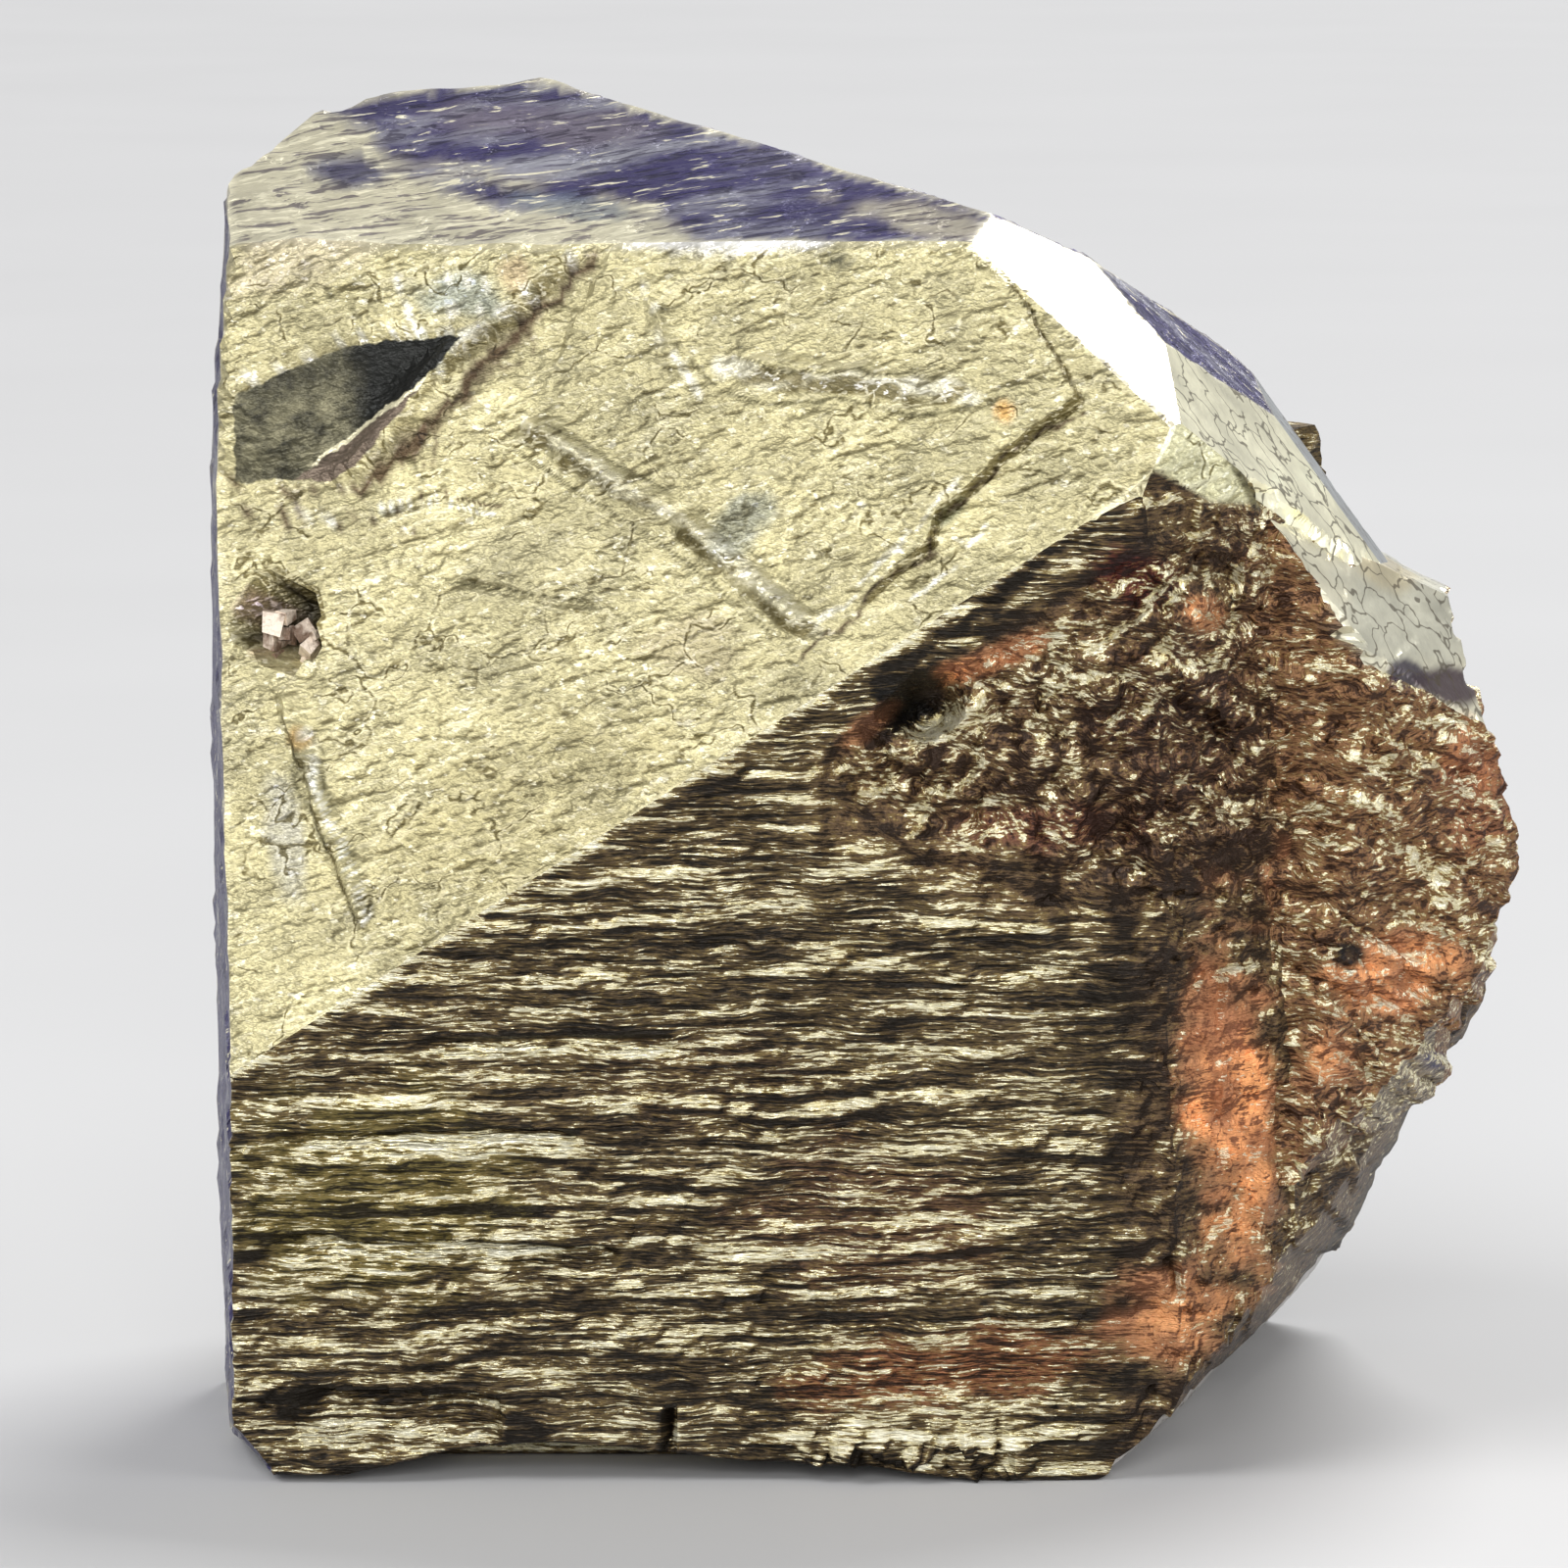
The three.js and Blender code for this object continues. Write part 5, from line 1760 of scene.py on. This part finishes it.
@dataclass(frozen=True)
class Hollow:
    """The lens-shaped hollow of the bright face: an olive floor with a fine bright line across.

    The floor is painted darker than the face, as shade in the recess.

    Attributes:
        floor: Colour of the floor above the line, on the left.
        brown: Colour of the floor below the line.
        black: Colour of the painted shade of the floor above the line, on the right, and of its wrinkles.
        line: Colour of the line.
        line_way: Across and up parts of the way over the line.
        line_at: How far the line lies along that way.
    """

    floor: Colour = hue(104, 100, 78)
    brown: Colour = hue(112, 98, 84)
    black: Colour = hue(26, 27, 24)
    line: Colour = hue(240, 232, 196)
    line_way: Triple = (-0.6, 0.8, 0.0)
    line_at: float = 18.3

    def lay(self, graph: Graph, colour: Socket, dark: Socket) -> Socket:
        """Colours the hollow, which is where a place is on the inner side of all of the hollow's sides.

        Args:
            graph: The material's graph.
            colour: The face's colour.
            dark: How far each place is in a wrinkle.

        Returns:
            The colour with the hollow.
        """
        place = graph.moved(graph.attribute("seen", "Color"), (-0.5, -0.5, 0.0))
        place = graph.scaled(place, (SEEN_SCALE, SEEN_SCALE, 0.0))
        way = graph.moved(graph.vector_noise(place, 1.6, 3.0), (-0.5, -0.5, 0.0))
        place = graph.moved(place, graph.scaled(way, (0.5, 0.5, 0.0)))
        within = 10.0
        for x, y, limit in HOLLOW_SIDES:
            within = graph.math("MINIMUM", within, graph.less(limit, graph.dot(place, (x, y, 0.0))))
        over_line = graph.less(graph.dot(place, self.line_way), self.line_at)
        right = graph.dot(place, (1.0, 0.0, 0.0))
        cloud = graph.spread(graph.noise(place, 1.2, 5.0, 0.65), 0.3, 1.6, 0.35, 0.65)
        floor = graph.mix(graph.ramp(over_line, 0.02, -0.1), graph.tinted(self.floor, cloud), self.brown)
        # Painted shade: the darkest part of the hollow, above the line on the right.
        night = graph.times(graph.ramp(over_line, 0.0, 0.1), graph.ramp(right, -15.3, -14.0))
        floor = graph.mix(night, floor, self.black)
        floor = graph.mix(graph.times(dark, 0.5), floor, self.black)
        line = graph.ramp(graph.math("ABSOLUTE", over_line), 0.09, 0.03)
        floor = graph.mix(graph.times(line, graph.ramp(right, -16.3, -15.8)), floor, self.line)
        return graph.mix(graph.ramp(within, 0.0, 0.1), colour, floor)


@dataclass(frozen=True)
class BrightFinish:
    """Pale brassy face like crinkled foil, with fine lines of painted shade and painted highlight.

    Attributes:
        hollow: The lens-shaped hollow.
        shade: What a dark wrinkle leaves of the colour.
        shine: What a lit wrinkle makes of it.
        speck: What a painted glint speck makes of it.
        metallic: How metallic the surface is.
    """

    hollow: Hollow = Hollow()
    shade: Colour = (0.3, 0.27, 0.18)
    shine: Colour = (1.5, 1.52, 1.75)
    speck: Colour = (2.1, 2.2, 3.0)
    metallic: float = 0.55

    def build(self, groups: Groups) -> bpy.types.Material:
        """Makes the material."""
        material, graph, place = new_material("bright_face")
        large = graph.group(groups.crinkles, vector=graph.turned(place, 16.0), stretch=(0.55, 0.55, 1.5),
                            shift=(0.06, 0.0, -0.09), gain=11.0)
        small = graph.group(groups.crinkles, vector=graph.turned(place, -12.0), stretch=(1.7, 1.7, 4.4),
                            shift=(0.06, 0.0, -0.09), gain=4.0)
        cracks = graph.group(groups.cracks, vector=place, stretch=(0.3, 0.3, 0.55), width=0.025, amount=0.15)
        amount = graph.spread(graph.noise(place, 0.28, 3.0), 0.35, 0.95, 0.35, 0.65)
        # Painted shade and painted highlight: the wrinkles' dark and light sides, and the relief's tilt to
        # the light.
        crest = graph.attribute("crest")
        dark = graph.most(large.outputs["Dark"], graph.times(small.outputs["Dark"], 0.8))
        dark = graph.most(graph.times(dark, amount), graph.ramp(crest, 0.44, 0.28))
        light = graph.most(large.outputs["Light"], graph.times(small.outputs["Light"], 0.8))
        light = graph.most(light, graph.times(cracks.outputs["Light"], 0.8))
        light = graph.most(graph.times(light, amount), graph.ramp(crest, 0.55, 0.66))
        # The painted highlight along facet edges.
        light = graph.most(light, graph.attribute("edge"))
        # Painted glints: bright specks where a fine noise peaks.
        grain = graph.noise(graph.scaled(place, (2.2, 2.2, 4.0)), 1.0, 2.0)
        specks = graph.times(graph.ramp(grain, 0.62, 0.68), amount)
        cloud = graph.noise(place, 0.4, 3.0, 0.65)
        body = graph.tinted(graph.attribute("tone", "Color"), graph.spread(cloud, 0.58, 1.12, 0.3, 0.7))
        wrinkle = graph.most(dark, cracks.outputs["Dark"])
        colour = graph.mix(wrinkle, body, graph.tinted(body, self.shade))
        colour = graph.mix(light, colour, graph.tinted(body, self.shine))
        colour = graph.mix(graph.times(specks, 0.8), colour, graph.tinted(body, self.speck))
        colour = self.hollow.lay(graph, colour, dark)
        height = graph.plus(large.outputs["Height"], graph.times(small.outputs["Height"], 0.3))
        close_material(graph, colour, graph.spread(cloud, 0.3, 0.5), height, self.metallic, 0.4)
        return material


@dataclass(frozen=True)
class TarnishedFinish:
    """Indigo tarnish with silvery streaks and cream flakes.

    Attributes:
        silver: Colour of the veil over the tarnish.
        cream: Colour of the flakes.
        shade: What a dark streak leaves of the colour.
        metallic: How metallic the surface is.
    """

    silver: Colour = hue(150, 150, 158)
    cream: Colour = hue(230, 224, 196)
    shade: Colour = (0.34, 0.32, 0.4)
    metallic: float = 0.55

    def build(self, groups: Groups) -> bpy.types.Material:
        """Makes the material."""
        material, graph, place = new_material("tarnished_face")
        tone = graph.attribute("tone", "Color")
        glint = graph.attribute("glint")
        veil = graph.noise(graph.scaled(place, (0.14, 0.4, 0.4)), 1.0, 6.0, 0.62)
        veil = graph.plus(veil, graph.times(graph.less(glint, 0.4), 0.3))
        veiled = graph.mix(graph.ramp(veil, 0.42, 0.66), tone, self.silver)
        colour = graph.mix(graph.attribute("plain"), veiled, tone)
        streak = graph.group(groups.streaks, vector=place, stretch=(0.4, 2.4, 2.4), bend=1.0).outputs[0]
        colour = graph.mix(graph.ramp(streak, 0.46, 0.4), colour, graph.tinted(colour, self.shade))
        flakes = graph.ramp(graph.plus(streak, graph.times(glint, 0.2)), 0.67, 0.73)
        # Painted highlight along facet edges, in the flakes' cream.
        colour = graph.mix(graph.most(flakes, graph.attribute("edge")), colour, self.cream)
        close_material(graph, colour, graph.spread(veil, 0.32, 0.5), streak, self.metallic, 0.25)
        return material


@dataclass(frozen=True)
class SmoothFinish:
    """Smooth pale facet with a soft mottling, a few hair lines of painted wrinkle shade, and thin cracks.

    Attributes:
        hair: Colour of the hair lines.
        crack: Colour of the cracks.
        metallic: How metallic the surface is.
    """

    hair: Colour = hue(110, 108, 100)
    crack: Colour = hue(84, 74, 56)
    metallic: float = 0.6

    def build(self, groups: Groups) -> bpy.types.Material:
        """Makes the material."""
        material, graph, place = new_material("smooth_facet")
        cloud = graph.noise(place, 0.5, 4.0)
        body = graph.tinted(graph.attribute("tone", "Color"), graph.spread(cloud, 0.78, 1.1, 0.3, 0.7))
        hair = graph.group(groups.crinkles, vector=place, stretch=(0.9, 0.9, 0.9),
                           shift=(0.05, 0.0, -0.05), gain=7.0)
        cracks = graph.group(groups.cracks, vector=place, stretch=(0.55, 0.55, 0.55), width=0.035,
                             amount=0.3)
        # The hair lines are the painted shade of fine wrinkles.
        colour = graph.mix(graph.times(hair.outputs["Dark"], 0.3), body, self.hair)
        colour = graph.mix(graph.times(cracks.outputs["Dark"], 0.75), colour, self.crack)
        rough = graph.spread(cloud, 0.28, 0.42)
        close_material(graph, colour, rough, hair.outputs["Height"], self.metallic, 0.1)
        return material


# The sides of a block, as triangles of its eight corners.
BLOCK_TRIANGLES = np.array([
    (0, 2, 1), (0, 3, 2), (4, 5, 6), (4, 6, 7), (0, 1, 5), (0, 5, 4),
    (1, 2, 6), (1, 6, 5), (2, 3, 7), (2, 7, 6), (3, 0, 4), (3, 4, 7),
])


def block_corners(edge: float, random: np.random.Generator) -> Array:
    """Corners of a small block, turned at random.

    Args:
        edge: Its edge in millimetres.
        random: The source of random numbers.

    Returns:
        Eight corners about the block's middle.
    """
    square = np.array([(-1, -1), (1, -1), (1, 1), (-1, 1)]) / 2
    corners = np.array([(x, y, z) for z in (-0.5, 0.5) for x, y in square])
    turn, _ = np.linalg.qr(random.normal(size=(3, 3)))
    if np.linalg.det(turn) < 0:
        turn[:, 0] *= -1
    return (corners * edge * random.uniform(0.8, 1.2, 3)) @ turn.T


@dataclass
class PocketCrust:
    """The crust of small blocky crystals in the pocket of the bright face.

    Attributes:
        name: Name of the finished piece.
        blocks: Place across, deep and up of each block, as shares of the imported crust's box, and its edge.
        seed: Chooses how the blocks are turned.
        shadow: Colour of the darker clouds.
        pale: Colour of the paler ones.
    """

    name: str = "pocket_crust"
    blocks: tuple[tuple[float, float, float, float], ...] = (
        (0.16, 0.4, 0.8, 0.85), (0.4, 0.45, 0.92, 0.55), (0.12, 0.5, 0.46, 0.7), (0.32, 0.62, 0.6, 0.5),
        (0.22, 0.35, 0.2, 0.5), (0.84, 0.3, 0.4, 0.55), (0.95, 0.25, 0.62, 0.35), (0.78, 0.38, 0.16, 0.4),
        (0.24, 0.66, 0.36, 0.6), (0.66, 0.8, 0.26, 0.4), (0.44, 0.86, 0.46, 0.6), (0.7, 0.88, 0.62, 0.6),
    )
    seed: int = 7
    shadow: Colour = hue(128, 104, 86)
    pale: Colour = hue(238, 222, 204)

    def build(self) -> bpy.types.Object:
        """Makes the crust: blocks that stand up from the pocket's floor, cut off at the crust's box."""
        low, high = (np.array(corner) / MM + UNDER_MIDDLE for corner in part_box("pocket_crystals"))
        random = np.random.default_rng(self.seed)
        points = np.concatenate([
            low + np.array(share) * (high - low) + block_corners(edge, random) for *share, edge in self.blocks
        ])
        starts = 8 * np.repeat(np.arange(len(self.blocks)), len(BLOCK_TRIANGLES))
        triangles = np.tile(BLOCK_TRIANGLES, (len(self.blocks), 1)) + starts[:, None]
        piece = mesh_piece(self.name, np.clip(points, low, high), triangles)
        piece.data.materials.append(self.finish())
        LOG.info("%s: %d triangles", self.name, len(piece.data.polygons))
        return piece

    def finish(self) -> bpy.types.Material:
        """The crust's material: cloudy and pinkish grey."""
        material, graph, place = new_material("pocket_crystals")
        cloud = graph.ramp(graph.noise(place, 1.3, 4.0), 0.38, 0.6)
        colour = graph.mix(cloud, self.shadow, self.pale)
        close_material(graph, colour, 0.45, graph.noise(place, 6.0, 4.0), 0.2, 0.1)
        return material


@dataclass(frozen=True)
class Lamp:
    """A square soft light that faces the specimen.

    Attributes:
        name: The light's name.
        towards: Direction from the specimen to the light.
        distance: How far off it stands, in metres.
        size: Its edge in metres.
        power: Its power in watts.
    """

    name: str
    towards: Triple
    distance: float
    size: float
    power: float

    def build(self) -> None:
        """Makes the light."""
        middle = Vector((0.0, 0.0, 0.022))
        lamp = bpy.data.lights.new(self.name, "AREA")
        lamp.size = self.size
        lamp.energy = self.power
        made = bpy.data.objects.new(self.name, lamp)
        made.location = middle + Vector(self.towards).normalized() * self.distance
        made.rotation_euler = (middle - made.location).to_track_quat("-Z", "Y").to_euler()
        bpy.context.scene.collection.objects.link(made)


@dataclass(frozen=True)
class Sun:
    """A far, wide light that is even over the whole floor.

    Attributes:
        name: The light's name.
        towards: Direction from the specimen to the light.
        wide: How wide it appears, in degrees.
        power: Its power in watts a square metre.
    """

    name: str
    towards: Triple
    wide: float
    power: float

    def build(self) -> None:
        """Makes the light."""
        lamp = bpy.data.lights.new(self.name, "SUN")
        lamp.angle = math.radians(self.wide)
        lamp.energy = self.power
        made = bpy.data.objects.new(self.name, lamp)
        made.rotation_euler = (-Vector(self.towards)).to_track_quat("-Z", "Y").to_euler()
        bpy.context.scene.collection.objects.link(made)


@dataclass
class Studio:
    """The floor, the lights, the room and the camera.

    Attributes:
        lights: The lights in the order in which they are made.
        floor_size: The floor's edge in metres.
        floor_hues: The floor's two shades of grey.
        room: Colour of the light that comes from all around.
    """

    lights: tuple[Sun | Lamp, ...] = (
        Sun("key", (-0.62, -0.26, 0.74), wide=34.0, power=1.45),
        Sun("back", (0.30, 0.60, 0.74), wide=28.0, power=2.6),
        Lamp("side", (0.85, -0.45, 0.25), distance=0.5, size=0.3, power=0.95),
        Lamp("front", (-0.05, -0.95, 0.3), distance=0.55, size=0.24, power=1.9),
    )
    floor_size: float = 3.0
    floor_hues: tuple[Colour, Colour] = ((0.50, 0.50, 0.50), (0.54, 0.54, 0.54))
    room: Colour = (0.32, 0.32, 0.3328)

    def build(self) -> None:
        """Makes the floor, the lights, the room and the camera."""
        self.floor()
        for light in self.lights:
            light.build()
        self.surroundings()
        self.camera()

    def floor(self) -> None:
        """A plain pale floor."""
        half = self.floor_size / 2
        mesh = bpy.data.meshes.new("floor")
        corners = [(-half, -half, 0), (half, -half, 0), (half, half, 0), (-half, half, 0)]
        mesh.from_pydata(corners, [], [(0, 1, 2, 3)])
        floor = bpy.data.objects.new("floor", mesh)
        bpy.context.scene.collection.objects.link(floor)
        material, graph, place = new_material("pale_floor")
        colour = graph.mix(graph.noise(place, 0.02, 2.0), *self.floor_hues)
        close_material(graph, colour, 0.7, graph.noise(place, 0.5), 0.0, 0.01)
        floor.data.materials.append(material)

    def surroundings(self) -> None:
        """An even, dim room."""
        world = bpy.data.worlds.new("room")
        world.use_nodes = True
        background = world.node_tree.nodes["Background"]
        background.inputs[0].default_value = (*self.room, 1.0)
        background.inputs[1].default_value = 1.0
        bpy.context.scene.world = world

    @staticmethod
    def camera() -> None:
        """The photograph's viewpoint."""
        tilt = math.radians(VIEW_ELEVATION)
        lens = bpy.data.cameras.new("viewpoint")
        lens.sensor_width = SENSOR
        lens.lens = SENSOR * VIEW_DISTANCE / VIEW_WIDTH
        lens.clip_start = 0.01
        made = bpy.data.objects.new("viewpoint", lens)
        back = np.array([0.0, -math.cos(tilt), math.sin(tilt)])
        made.location = Vector((VIEW_TARGET + back * VIEW_DISTANCE) * MM)
        made.rotation_euler = (math.pi / 2 - tilt, 0.0, 0.0)
        bpy.context.scene.collection.objects.link(made)
        bpy.context.scene.camera = made


def settle(piece: bpy.types.Object, node: str) -> None:
    """Rides a piece on the specimen's body, and hides the imported solid that it stands for."""
    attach(piece, "root")
    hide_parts(node)


def main() -> None:
    """Builds the specimen and the studio."""
    logging.basicConfig(level=logging.INFO, format="%(message)s")
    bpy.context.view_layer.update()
    bpy.context.scene.view_settings.view_transform = "Standard"
    groups = Groups(streak_group(), crinkle_group(), crack_group())
    materials = {
        Finish.BRIGHT: BrightFinish().build(groups),
        Finish.STRIATED: StriatedFinish().build(groups),
        Finish.TARNISHED: TarnishedFinish().build(groups),
        Finish.SMOOTH: SmoothFinish().build(groups),
    }
    for crystal in (MainCrystal(), KnobCrystal(), *(twin(*parts) for parts in TWINS)):
        settle(crystal.build(materials), "pyrite_crystal")
    settle(PocketCrust().build(), "pocket_crystals")
    Studio().build()


if __name__ == "__main__":
    main()
